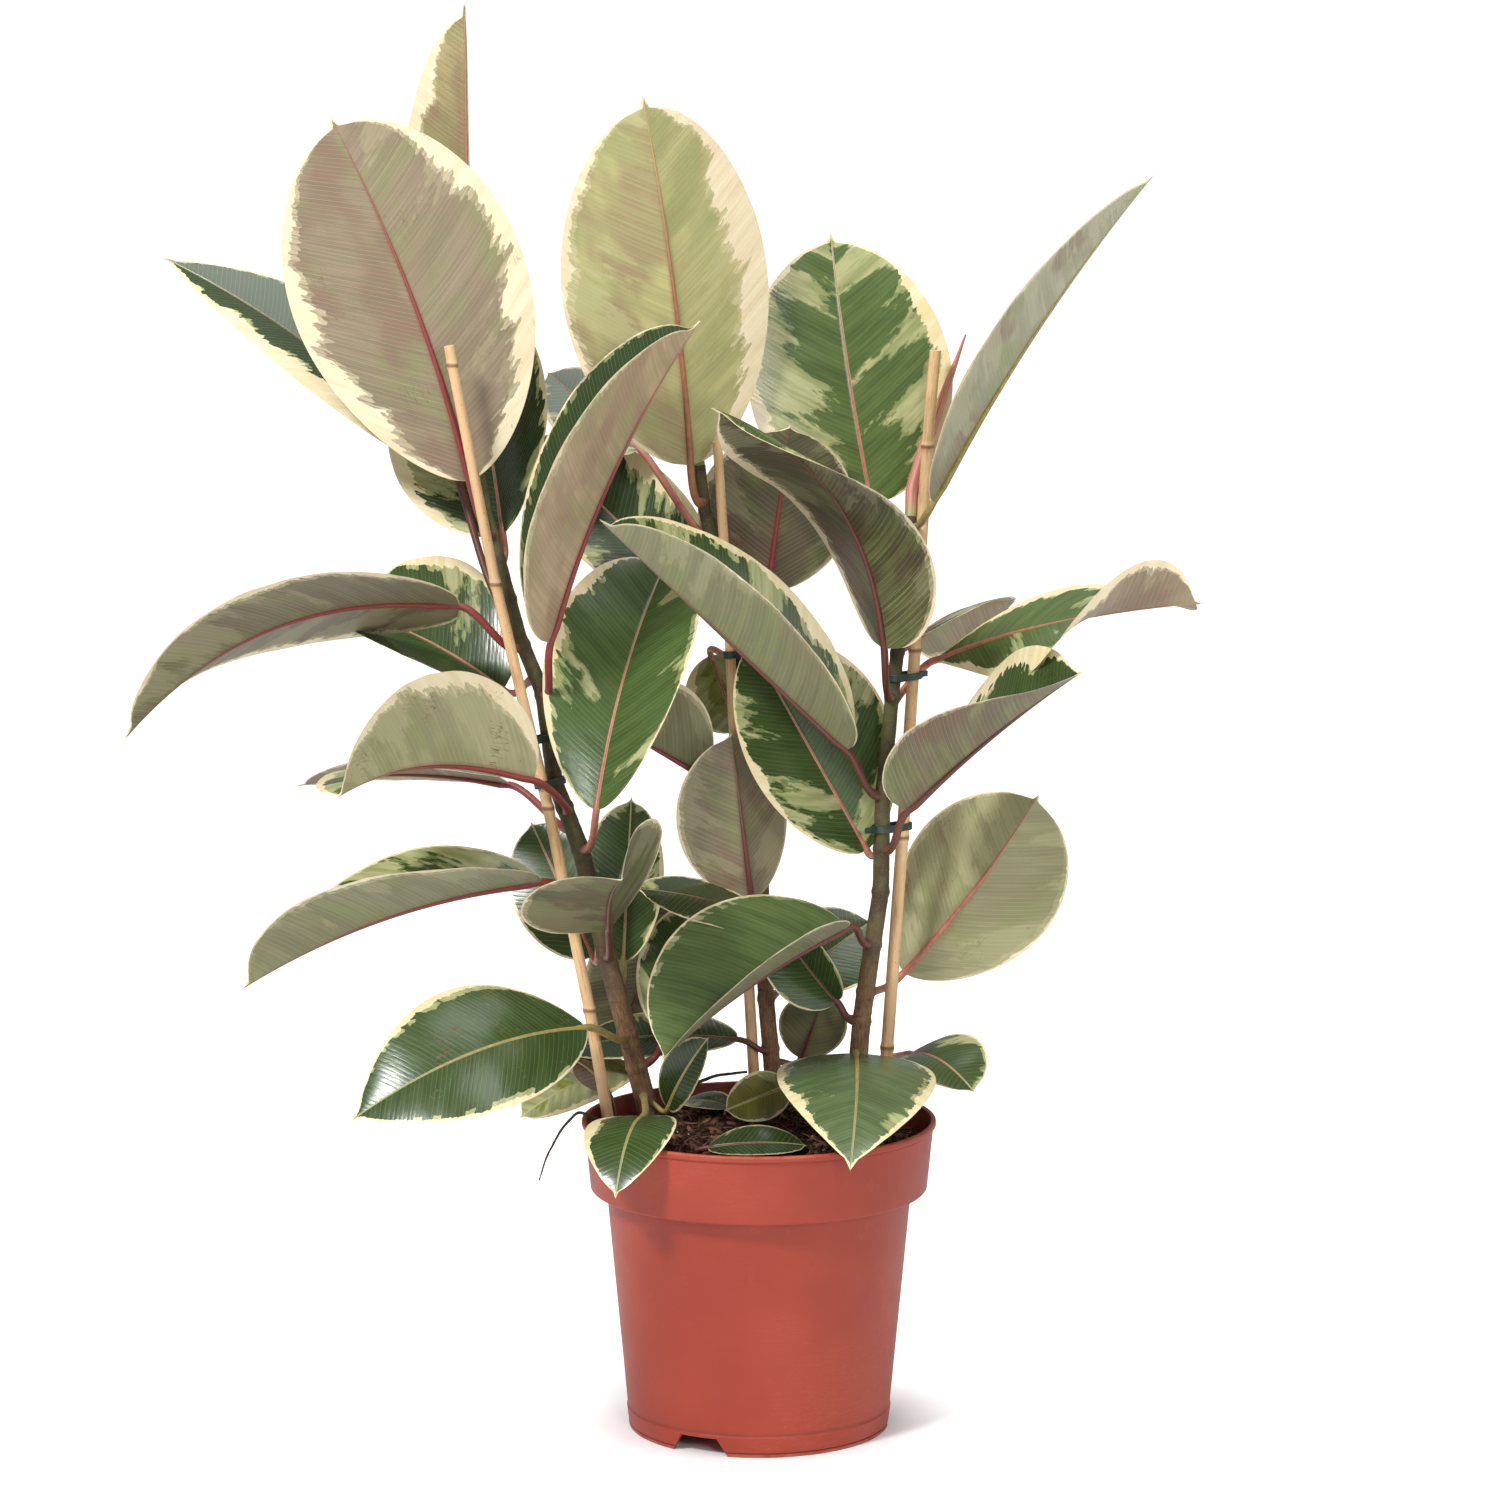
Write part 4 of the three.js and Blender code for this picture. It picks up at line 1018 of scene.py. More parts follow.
def blade_face(nodes, given, grid, depth):
    """The grid bent into the blade, pushed down by the blade's depth at each point."""
    u, v, seed = recall(nodes, "place").split()
    _, across, _ = recall(nodes, "flat").split()
    centre, right, normal = leaf_frame(nodes, given, u)
    on_right = v.do("GREATER_THAN", 0)
    side = on_right * 2 - 1
    fold = given["Fold left"] * (1 - on_right) + given["Fold right"] * on_right + given["Close"] * u * u
    distance = abs(across)
    ripple = nodes.noise(nodes.join(u * 5, side * 3, seed * 3), 1, 2) - 0.5
    lift = distance * fold.do("SINE") - CURL * distance * abs(v) + given["Wave"] * ripple * 2 * v * v
    outward = normal * fold.do("COSINE") - right * (side * fold.do("SINE"))
    sink = depth * (1 - v * v).do("MAXIMUM", 0).do("SQRT")
    spot = centre + right * (across * fold.do("COSINE")) + normal * lift - outward * sink
    return move_to(nodes, grid, spot)


grid = blade_grid(nodes, given)
top = coat(nodes, blade_face(nodes, given, grid, 0.0), given["Upper face"])
bottom = nodes.add("GeometryNodeFlipFaces", inputs={0: blade_face(nodes, given, grid, THICKNESS)})
bottom = coat(nodes, bottom, given["Lower face"])
faces = nodes.add("GeometryNodeJoinGeometry", inputs={0: [bottom, top]})
blade = nodes.add("GeometryNodeMergeByDistance", inputs={"Geometry": faces, "Distance": WELD})
print("blade nodes:", len(leaf_tree.nodes))

# %% Petiole and midrib of the leaf
STALK_SHARE = 0.25  # share of the stations that lie on the petiole
STALK_STATIONS = 64
STALK_SIDES = 10
FOOT_SWELL = 0.45  # share by which the petiole is thicker where it leaves the stem
RIB_THINNING = 0.84  # share by which the midrib is thinner at the tip than at the base
RIB_END = 0.985  # where the midrib ends, as a share of the blade's length
RIB_SUNK = 0.62  # how deep the midrib's middle lies below the blade, in its own radii


def stalk_rod(nodes, given):
    """A rod from the stem along the petiole, and on below the blade as its midrib."""
    line = nodes.add("GeometryNodeCurvePrimitiveLine", inputs={"End": (0, 0, 1)})
    line = nodes.add("GeometryNodeResampleCurve", inputs={"Curve": line, "Count": STALK_STATIONS})
    share = nodes.add("GeometryNodeSplineParameter")
    t = (share / STALK_SHARE).do("MINIMUM", 1)
    u = ((share - STALK_SHARE) / (1 - STALK_SHARE)).do("MAXIMUM", 0)
    line = store(nodes, line, "place", nodes.join(u, t, given["Seed"]))
    u, t, _ = recall(nodes, "place").split()
    centre, _, normal = leaf_frame(nodes, given, u * RIB_END)
    s = 1 - t
    petiole = (given["Stalk start"] * (s * s * s) + given["Stalk out"] * (3 * s * s * t)
               + given["Stalk in"] * (3 * s * t * t) + given["Base"] * (t * t * t))
    foot = 1 - t.rise(0.0, 0.3)
    radius = given["Stalk radius"] * (1 - RIB_THINNING * u ** 0.7) * (1 + FOOT_SWELL * foot)
    sink = radius * RIB_SUNK * u.rise(0.0, 0.06)
    line = move_to(nodes, line, centre + petiole - given["Base"] - normal * sink)
    circle = nodes.add("GeometryNodeCurvePrimitiveCircle", inputs={"Resolution": STALK_SIDES, "Radius": 1})
    sweep = {"Curve": line, "Profile Curve": circle, "Scale": radius, "Fill Caps": True}
    return coat(nodes, nodes.add("GeometryNodeCurveToMesh", inputs=sweep), given["Stalk"])


leaf = nodes.add("GeometryNodeJoinGeometry", inputs={0: [stalk_rod(nodes, given), blade]})
for label in ("Main", "Under", "Rib"):
    leaf = store(nodes, leaf, label.lower(), given[label])
end_tree(nodes, leaf)
print("leaf tree nodes:", len(leaf_tree.nodes))

# %% [markdown]
# ## The table of leaves
# Each leaf is placed from the photograph: its stem, the height of its scar on it, the base and
# tip of its blade and its half width. Turn rolls the upper face about the midrib from looking to the
# front, in degrees. Bow and sway bend the midrib, the two folds lift the left and right half, and
# twist turns the blade from base to tip. The last value, where there is one, is the direction, counted
# from the plant's right, in which the petiole leaves the stem. A fallen leaf has no stem, and the
# dry leaf has a point in the soil instead. A second table gives the looks, and a third the outlines
# that differ from the plain one.

# %% Leaves in millimetres and degrees
LEAVES = {
    # stem, height of scar, base, tip, half width, turn, bow, sway, left fold, right fold, twist, exit
    "leaf_left_01": ("left", 604, (-194, 24, 642), (-283, 5, 885), 80, 180, 0, -8, 8, 8, 0),
    "leaf_left_02": ("left", 645, (-196, 56, 676), (-197, 64, 959), 54, -147, 0, 0, 60, 60, 0),
    "leaf_left_03": ("left", 562, (-208, 63, 646), (-409, 114, 788), 50, 57, 14, 0, 15, 15, 0, 165),
    "leaf_left_04": ("left", 588, (-173, 49, 603), (-205, 152, 750), 72, -20, -5, 0, 20, 30, 0),
    "leaf_left_05": ("left", 497, (-139, -5, 536), (-39, -30, 752), 66, -82, 10, 0, 50, 50, 0),
    "leaf_left_06": ("left", 531, (-200, 10, 559), (-422, -30, 474), 68, 110, 34, 0, 8, 0, 0),
    "leaf_left_07": ("left", 508, (-174, 60, 496), (-284, 145, 539), 64, 50, 10, 0, 38, 38, 0),
    "leaf_left_08": ("left", 418, (-150, -22, 446), (-272, -130, 451), 71, 132, 18, 0, 38, 38, 0, -75),
    "leaf_left_09": ("left", 405, (-170, 70, 429), (-316, 75, 428), 40, 110, 8, 0, 10, 10, 0),
    "leaf_left_10": ("left", 365, (-148, 20, 370), (-344, -50, 310), 64, 83, 13, 0, 33, 38, 49, 178),
    "leaf_left_11": ("left", 260, (-116, -10, 276), (-270, -80, 227), 52, 42, 24, 0, 8, 8, 0),
    "leaf_left_12": ("left", 317, (-101, -10, 343), (-88, -150, 401), 62, -137, 6, 0, 22, 22, 5),
    "leaf_left_13": ("left", 325, (-114, 75, 308), (-159, 125, 395), 36, 0, 0, 0, 10, 10, 0),
    "leaf_left_14": ("left", 292, (-93, 62, 307), (-88, 100, 416), 34, 0, 0, 0, 20, 42, 0),
    "leaf_left_15": ("middle", 300, (-60, 118, 337), (-103, 128, 232), 40, 180, 0, 0, 8, 8, 0),
    "leaf_left_16": ("left", 391, (-109, -5, 423), (-62, 90, 583), 57, 0, 14, -7, 8, 48, 0),
    "leaf_left_17": ("left", 220, (-77, -45, 223), (-94, -122, 185), 31, 25, 16, 0, 12, 2, 0),
    "leaf_left_18": ("left", 228, (-87, 92, 227), (-165, 60, 198), 28, 60, 8, 0, 10, 10, 0),
    "leaf_left_19": ("middle", 246, (-14, 57, 254), (-136, 108, 236), 24, 60, 8, 0, 10, 10, 0, -120),
    "leaf_left_20": ("left", 213, (-62, 20, 214), (-34, -5, 268), 18, -40, 4, 0, 20, 20, 0),
    "leaf_left_21": ("left", 238, (-65, 50, 261), (-43, 85, 346), 30, 0, 0, 0, 10, 10, 0),
    "leaf_middle_01": ("middle", 625, (-46, 40, 651), (-77, 10, 898), 76, 198, 0, -4, 18, 18, 0),
    "leaf_middle_02": ("middle", 600, (-81, 95, 657), (-146, 130, 708), 36, 40, 0, 0, 10, 10, 0),
    "leaf_middle_03": ("middle", 548, (-34, 80, 548), (-158, 130, 664), 48, 25, 0, 0, 25, 25, 0),
    "leaf_middle_04": ("middle", 500, (6, 72, 562), (21, 55, 677), 56, 190, 0, 0, 16, 16, 0),
    "leaf_middle_05": ("middle", 515, (-33, 92, 516), (-14, 120, 457), 28, 0, 0, 0, 10, 10, 0),
    "leaf_middle_06": ("middle", 428, (-37, 62, 437), (-115, 60, 481), 56, 125, 0, 0, 38, 38, 0),
    "leaf_middle_07": ("middle", 330, (-5, 43, 354), (-19, 38, 470), 45, 190, 0, 0, 38, 10, 0),
    "leaf_middle_08": ("middle", 316, (8, 20, 344), (-83, 2, 369), 34, 84, 4, 0, -8, 11, 0, -95),
    "leaf_middle_09": ("middle", 235, (29, 90, 234), (46, 62, 286), 24, 180, 0, 0, 10, 10, 0),
    "leaf_middle_10": ("middle", 281, (22, 92, 289), (79, 118, 326), 38, -40, 0, 0, 10, 10, 0),
    "leaf_right_01": ("right", 494, (84, 12, 530), (-31, -60, 697), 63, 138, 28, -16, 0, 38, 0),
    "leaf_right_02": ("right", 590, (77, 86, 620), (49, 108, 804), 74, 0, 0, -2, 20, 20, 0),
    "leaf_right_03": ("right", 427, (59, 15, 461), (-104, -60, 624), 62, 76, 0, 0, 56, 56, 22),
    "leaf_right_04": ("right", 385, (74, 54, 386), (-8, 42, 534), 60, 12, 0, 0, 38, 8, 0),
    "leaf_right_05": ("right", 605, (117, 30, 627), (262, 10, 848), 50, -95, 7, 0, 35, 35, 0),
    "leaf_right_06": ("right", 240, (104, 62, 243), (146, 0, 229), 32, -60, 10, 0, 15, 15, 0, 80),
    "leaf_right_07": ("right", 490, (118, 72, 514), (294, -40, 567), 56, -40, 16, 0, -12, -12, -112, 75),
    "leaf_right_08": ("right", 524, (108, 75, 530), (178, 120, 550), 40, -116, 8, 0, -20, -15, 0, 85),
    "leaf_right_09": ("right", 325, (60, 14, 340), (-65, -72, 266), 65, 62, 8, 0, 49, 49, 0),
    "leaf_right_10": ("right", 272, (53, 36, 285), (8, 38, 345), 34, -20, 4, 0, 60, 38, 0),
    "leaf_right_11": ("right", 390, (100, 15, 419), (212, -60, 524), 58, -112, 4, 0, 42, 42, 45),
    "leaf_right_12": ("right", 292, (100, 75, 297), (192, 70, 422), 61, 180, 0, -4, 16, 34, 0),
    "leaf_right_13": ("right", 243, (66, 16, 253), (59, -140, 208), 54, 0, 16, 0, 8, -6, 0),
    "leaf_olive": ("middle", 222, (21, 30, 228), (-23, -20, 221), 17, 20, 3, 0, 5, 5, 0),
    "fallen_leaf_front": (None, 9, (-34, -50, 202.4), (32, -48, 203.4), 19, -70, 5, 3, 12, 12, 0),
    "fallen_leaf_back": (None, 9, (-20, 40, 209.8), (-52, 62, 209.8), 16, 80, 3, 0, 8, 8, 0),
    "dry_leaf": ((-98, 42, 196), 0, (-104, 46, 221), (-128, 44, 243), 12, -30, -4, 0, 25, 25, 0),
}
lengths = [math.dist(row[2], row[3]) for row in LEAVES.values()]
print("blades from", round(min(lengths)), "to", round(max(lengths)), "mm long")

# %% Colours, looks and forms of the leaves
# The pale grey-green upper tone of leaf_right_13 is partly a painted sheen: its green is made paler and
# greyer
TONES = {
    "dark": "#3c5126", "deep": "#2d401e", "leafy": "#56682f", "lime": "#87903f", "yellow": "#7c7a35",
    "brown": "#8a7d63", "rose": "#baa283", "olive": "#a7a37d", "umber": "#5b543d", "grey": "#898669",
    "young": "#b8b378", "pale": "#b0ae94", "red": "#8e3a36", "pink": "#b5715c", "rust": "#673830",
    "straw": "#a8985c", "dry": "#5c3c26", "dust": "#6f4f39", "tan": "#a26a4a", "moss": "#868566",
    "dusk": "#93836a", "taupe": "#776d57", "sage": "#97956c", "fawn": "#897c63", "fern": "#5f5e45",
    "bronze": "#4a432c", "honey": "#a09264", "fresh": "#576b38", "green_with_painted_sheen": "#5c6e46", "grass": "#496030",
}
# Cream on the two halves, how much it grows to the tip, grey share, marks, upper, lower and rib colour
PLAIN_LOOK = (0.1, 0.1, 0, 0.3, 0.1, "dark", "brown", "red")
LOOKS = {
    "leaf_left_01": (0.2, 0.16, -0.6, 0.2, 0.4, "dark", "dusk", "red"),
    "leaf_left_02": (0.35, 0.3, 0, 0.3, 0, "lime", "honey", "pink"),
    "leaf_left_03": (0.3, 0.02, 0.1, 0.05, 0, "deep", "brown", "rust"),
    "leaf_left_04": (0.12, 0.08, -0.3, 0.3, 0, "deep", "brown", "pink"),
    "leaf_left_05": (0.02, 0.03, 0, -0.2, 0.1, "deep", "rose", "red"),
    "leaf_left_06": (0.1, 0.14, 0, 0.3, 0.2, "dark", "taupe", "red"),
    "leaf_left_07": (0.03, 0.08, 0.5, 0.1, 0, "dark", "brown", "pink"),
    "leaf_left_08": (0.2, 0.18, 0, 0.5, 0.8, "dark", "olive", "red"),
    "leaf_left_10": (0.03, 0.04, 0, 0.4, 0.1, "dark", "moss", "red"),
    "leaf_left_11": (0.06, 0.05, 0.6, -0.3, 1, "dark", "grey", "straw"),
    "leaf_left_12": (0.03, 0.04, 0, 0.45, 0, "dark", "fern", "rust"),
    "leaf_left_13": (0.04, 0.08, 0, 0.1, 0, "dark", "brown", "pink"),
    "leaf_left_14": (0.04, 0.12, 0, 0.3, 0, "dark", "grey", "straw"),
    "leaf_left_15": (0.06, 0.06, 0, 0.3, 0, "dark", "umber", "rust"),
    "leaf_left_16": (0.14, 0.02, 0.8, 0.14, 0, "grass", "brown", "pink"),
    "leaf_left_17": (0.04, 0.14, -0.3, -0.3, 0, "dark", "grey", "straw"),
    "leaf_left_18": (0.2, 0.2, 0, 0.9, 0, "lime", "young", "straw"),
    "leaf_left_19": (0.03, 0.03, 0, 0.05, 0, "deep", "umber", "rust"),
    "leaf_left_20": (0.02, 0.02, 0, -0.3, 0, "deep", "moss", "straw"),
    "leaf_middle_01": (0.25, 0.09, 0, 0.2, 0.1, "leafy", "young", "tan"),
    "leaf_middle_02": (0.1, 0.1, 0, 0.3, 0, "dark", "brown", "pink"),
    "leaf_middle_03": (0.08, 0.2, 0, 0.2, 0, "deep", "brown", "pink"),
    "leaf_middle_04": (0.04, 0.06, 0, 0.2, 0, "dark", "umber", "red"),
    "leaf_middle_05": (0.15, 0.2, 0, 0.6, 0, "lime", "young", "pink"),
    "leaf_middle_06": (0.04, 0.05, 0, 0.4, 0, "dark", "moss", "red"),
    "leaf_middle_07": (0.02, 0.03, 0, 0.3, 0, "dark", "fawn", "rust"),
    "leaf_middle_08": (0.05, 0.08, 0, 0.2, 0, "deep", "grey", "rust"),
    "leaf_middle_09": (0.04, 0.04, 0, 0.3, 0, "dark", "moss", "rust"),
    "leaf_middle_10": (0.04, 0.06, 0, 0.1, 0, "deep", "moss", "rust"),
    "leaf_right_01": (0.07, 0.12, 0.2, 0.3, 0.3, "dark", "bronze", "rust"),
    "leaf_right_02": (0.13, 0.16, -0.2, 0.42, 0, "fresh", "brown", "pink"),
    "leaf_right_03": (0.02, 0.1, -0.2, 0.25, 0, "dark", "moss", "rust"),
    "leaf_right_04": (0.12, 0.04, -0.2, 0.34, 0, "dark", "brown", "pink"),
    "leaf_right_05": (0.03, 0.03, 0, 0.3, 0, "leafy", "pale", "straw"),
    "leaf_right_06": (0.03, 0.04, 0, 0.1, 0, "dark", "brown", "pink"),
    "leaf_right_07": (0.14, 0.25, 0, 0.2, 0, "fresh", "dusk", "pink"),
    "leaf_right_08": (0.06, 0.1, 0, 0.2, 0, "dark", "dusk", "pink"),
    "leaf_right_09": (0.07, 0.03, 0.6, -0.2, 0, "fresh", "grey", "rust"),
    "leaf_right_10": (0.03, 0.04, 0, 0, 0, "dark", "grey", "rust"),
    "leaf_right_11": (0.3, 0.03, 0, 0.15, 0.3, "dark", "taupe", "rust"),
    "leaf_right_12": (0.02, 0.03, 0, 0.4, 0.4, "dark", "sage", "pink"),
    # Its upper tone holds a painted sheen
    "leaf_right_13": (0.1, 0.12, 0.6, 0.1, 0, "green_with_painted_sheen", "grey", "straw"),
    "leaf_olive": (0.03, 0.03, 0, 0.0, 0.3, "yellow", "olive", "straw"),
    "fallen_leaf_front": (0.01, 0.02, 0, 0.05, 0, "deep", "umber", "rust"),
    "fallen_leaf_back": (0.05, 0.05, 0, 0.2, 0, "dark", "umber", "straw"),
    "dry_leaf": (0, 0, 0, 0, 1, "dry", "dust", "dry"),
}
# How round the base is, how drawn out the tip, and by how many degrees the halves fold up to the tip
PLAIN_FORM = (0.5, 0.5, 0)
FORMS = {
    "leaf_left_01": (0.6, 0.5, 0),
    "leaf_left_03": (0.55, 0.8, 0),
    "leaf_left_06": (0.34, 0.6, 30),
    "leaf_left_07": (0.5, 0.4, 0),
    "leaf_left_11": (0.72, 0.78, 0),
    "leaf_left_12": (0.5, 0.5, 27),
    "leaf_left_16": (0.6, 0.42, 0),
    "leaf_left_17": (0.5, 0.72, 0),
    "leaf_right_01": (0.4, 0.55, -55),
    "leaf_right_02": (0.45, 0.5, 0),
    "leaf_right_03": (0.5, 0.55, 0),
    "leaf_right_04": (0.6, 0.5, 0),
    "leaf_right_05": (0.6, 0.7, 0),
    "leaf_right_07": (1.1, 0.4, 50),
    "leaf_right_09": (0.6, 0.5, 0),
    "leaf_right_11": (0.38, 0.42, 0),
    "leaf_right_12": (0.62, 0.5, 0),
    "leaf_right_13": (0.4, 0.85, 0),
}
print("leaves:", len(LEAVES), "of which", len(LOOKS), "have a look and", len(FORMS), "a form of their own")

# %% [markdown]
# ## Petioles
# A petiole leaves its stem squarely and bends into the midrib. A cubic curve with four points does
# this: the first is a little inside the stem, the second straight out from it, the third back along the
# midrib's own direction, and the fourth is the base of the blade.

# %% Four points of a petiole
PETIOLE = {  # mm, and shares
    "radius": 2.6,  # of a full petiole
    "least": 0.3,  # share of that radius which every petiole has
    "full": 50,  # half width of a blade that adds a whole radius to it, up to one in all
    "reach": 14,  # from an end of the petiole to the point that bends it
    "share": 0.45,  # greatest reach, as a share of the petiole's length
    "inside": 1.2,  # how deep it starts below the bark
}


def first_direction(base, tip, turn, bow, sway):
    """The direction in which the midrib leaves the base of the blade."""
    chord = tip - base
    along = chord.normalized()
    front = Vector((0, -1, 0))
    face = (front - along * front.dot(along)).normalized()
    right = along.cross(face)
    face, right = (face * math.cos(turn) + right * math.sin(turn),
                   right * math.cos(turn) - face * math.sin(turn))
    return (chord * 0.5 + face * 2 * bow + right * 2 * sway).normalized()


def petiole_points(side, height, base, into, exit_angle):
    """The first three of the four points of a petiole, in millimetres; the fourth is the blade's base."""
    if side is None:  # a fallen leaf, with a straight petiole as long as its height says
        start, outward = base - into * height, into
    elif isinstance(side, tuple):  # the dry leaf, whose petiole stands in the soil
        start, outward = Vector(side), Vector((0, 0, 1))
    else:
        stem = STEMS[side]
        root = at_height(stem, height)
        climb = (at_height(stem, height + 5) - at_height(stem, height - 5)).normalized()
        outward = base - root
        if exit_angle is not None:
            angle = math.radians(exit_angle)
            outward = Vector((math.cos(angle), math.sin(angle), 0))
        outward = (outward - climb * outward.dot(climb)).normalized()
        start = root + outward * (radius_at(stem, height) - PETIOLE["inside"])
    reach = min(PETIOLE["reach"], (base - start).length * PETIOLE["share"])
    return start, start + outward * reach, base - into * reach


print("a petiole is", 2 * PETIOLE["radius"], "mm thick on a full leaf")

# %% [markdown]
# ## Growing the leaves
# Each row of the tables becomes the inputs of the one leaf tree. Its rows and columns follow from the
# blade's size, so that small leaves don't get more faces than they need, and its seed is its place in
# the table.

# %% Growing the leaves
ROW_SPACING = 4  # mm of blade for each row of the grid
FEWEST_ROWS, MOST_ROWS = 28, 64
FIRST_COLUMNS, MOST_COLUMNS = 6, 14  # on each half of the blade, and one more in the middle
COLUMN_SPACING = 6  # mm of half width for each further column
WAVE = 0.03  # how far the margins ripple, as a share of the half width


def grid_size(length, half):
    """Rows and columns of a blade's grid, from its length and half width in millimetres."""
    rows = round(min(MOST_ROWS, max(FEWEST_ROWS, length / ROW_SPACING)))
    return rows, 2 * round(min(MOST_COLUMNS, FIRST_COLUMNS + half / COLUMN_SPACING)) + 1


for number, (name, row) in enumerate(LEAVES.items()):
    side, height, base, tip, half, turn, bow, sway, fold_left, fold_right, twist, *exit_angle = row
    base, tip = Vector(base), Vector(tip)
    cream_left, cream_right, to_tip, grey, marks, main, under, rib = LOOKS.get(name, PLAIN_LOOK)
    base_round, tip_point, close = FORMS.get(name, PLAIN_FORM)
    into = first_direction(base, tip, math.radians(turn), bow, sway)
    stalk = petiole_points(side, height, base, into, exit_angle[0] if exit_angle else None)
    rows, columns = grid_size((tip - base).length, half)
    piece = grow(name + "_blade", leaf_tree, {
        "Base": place(base), "Tip": place(tip), "Half width": half * MM, "Turn": math.radians(turn),
        "Bow": bow * MM, "Sway": sway * MM, "Fold left": math.radians(fold_left),
        "Fold right": math.radians(fold_right), "Close": math.radians(close),
        "Twist": math.radians(twist), "Wave": half * WAVE * MM,
        "Base round": base_round, "Tip point": tip_point,
        "Seed": float(number), "Rows": rows, "Columns": columns,
        "Cream left": float(cream_left), "Cream right": float(cream_right),
        "Cream to tip": float(to_tip), "Grey": float(grey), "Marks": float(marks),
        "Main": paint(TONES[main])[:3], "Under": paint(TONES[under])[:3], "Rib": paint(TONES[rib])[:3],
        "Stalk start": place(stalk[0]), "Stalk out": place(stalk[1]), "Stalk in": place(stalk[2]),
        "Stalk radius": PETIOLE["radius"] * min(1, half / PETIOLE["full"] + PETIOLE["least"]) * MM,
        "Upper face": upper_face, "Lower face": lower_face, "Stalk": leaf_stalk,
    })
    sharpen(piece.data, 60)
    settle(piece, "leaf", "soil" if name == "dry_leaf" else name)
leaf_faces = sum(len(o.data.polygons) for o in bpy.data.objects if o.name.endswith("_blade"))
print("leaf faces:", leaf_faces)

# %% [markdown]
# ## The pot
# The pot is one moulding of satin plastic: a tapered body on a stepped foot, a wide band at the rim
# and a lip bead with a shadow line below it. Turning a profile gives all of it at once. Each corner of
# the profile is rounded first, because no moulded edge is sharp. One Boolean modifier cuts the notches
# in the foot and the drain holes, with a cutter that holds a block for each.

# %% Profile of the pot
POT_PROFILE = [  # radius, height and rounding of each corner, in millimetres
    (0, 12.5, 0), (85.1, 12.5, 1), (86.1, 0.2, 0.3), (88.4, 0, 0.5), (88.75, 2.4, 0), (88.3, 2.8, 0),
    (88.75, 3.2, 0), (90, 13.6, 0.5), (89.4, 14.8, 0.4), (103.2, 162, 1.6), (104.8, 163.7, 0.6),
    (112.8, 164.1, 1), (114.1, 165.4, 0.7), (118.1, 206.2, 0.5), (117.9, 207.2, 0.3), (120, 208, 0.8),
    (120, 211.8, 1.4), (116.6, 211.9, 0.8), (116.1, 206, 2), (112.2, 167, 1.5), (101.4, 165.8, 2),
    (87.6, 16.2, 2), (0, 15.1, 0),
]
POT_SEGMENTS = 144
MOST_OF_SIDE = 0.45  # the greatest share of a straight side that a rounding may take


def rounded(profile, steps=4):
    """A profile with each corner replaced by a short curve."""
    points = []
    for i, (r, z, size) in enumerate(profile):
        corner = Vector((r, z))
        if size == 0:
            points.append(corner)
            continue
        ends = [Vector(profile[j][:2]) - corner for j in (i - 1, i + 1)]
        first, last = [corner + e.normalized() * min(size, e.length * MOST_OF_SIDE) for e in ends]
        for k in range(steps + 1):
            t = k / steps
            points.append(first * (1 - t) ** 2 + corner * 2 * t * (1 - t) + last * t * t)
    return points


def turned_shell(profile, segments):
    """A closed shell turned about the pot's axis, with one point at each pole."""
    mesh = bmesh.new()
    rings = []
    for point in profile:
        count = 1 if point.x < 1e-6 else segments
        angles = [2 * math.pi * i / segments for i in range(count)]
        rings.append([mesh.verts.new(place((point.x * math.cos(a), point.x * math.sin(a), point.y)))
                      for a in angles])
    for low, high in zip(rings, rings[1:]):
        for i in range(segments):
            j = (i + 1) % segments
            corners = [low[i % len(low)], low[j % len(low)], high[j % len(high)], high[i % len(high)]]
            mesh.faces.new(list(dict.fromkeys(corners)))
    bmesh.ops.recalc_face_normals(mesh, faces=mesh.faces)
    return mesh


print("profile of the pot:", len(POT_PROFILE), "corners,", len(rounded(POT_PROFILE)), "points when rounded")


# %% Blocks that cut the notches and the drain holes
NOTCHES = {"angles": (-117, 3, 123), "top": 27, "bottom": 42, "height": 12, "from": 70, "to": 110}
DRAINS = {"count": 6, "ring": 52, "radius": 4.5, "sides": 20, "from": 8, "to": 20}


def notch_block(angle):
    """The two ends of a block that cuts one trapezoid notch through the foot, at an angle in degrees."""
    n = NOTCHES
    outline = [(-n["bottom"] / 2, -1), (n["bottom"] / 2, -1), (n["top"] / 2, n["height"]),
               (-n["top"] / 2, n["height"])]
    a = math.radians(angle)
    ends = []
    for radius in (n["from"], n["to"]):
        centre = Vector((math.cos(a), math.sin(a), 0)) * radius
        aside = Vector((-math.sin(a), math.cos(a), 0))
        ends.append([place(centre + aside * x + Vector((0, 0, z))) for x, z in outline])
    return ends


def drain_plug(number):
    """The two ends of a short plug that cuts one drain hole."""
    d = DRAINS
    a = 2 * math.pi * (number + 0.5) / d["count"]
    centre = Vector((math.cos(a), math.sin(a), 0)) * d["ring"]
    steps = [2 * math.pi * i / d["sides"] for i in range(d["sides"])]
    flat = [Vector((math.cos(s), math.sin(s), 0)) * d["radius"] for s in steps]
    return [[place(centre + p + Vector((0, 0, z))) for p in flat] for z in (d["from"], d["to"])]


blocks = [notch_block(a) for a in NOTCHES["angles"]] + [drain_plug(i) for i in range(DRAINS["count"])]
print("blocks to cut with:", len(blocks))


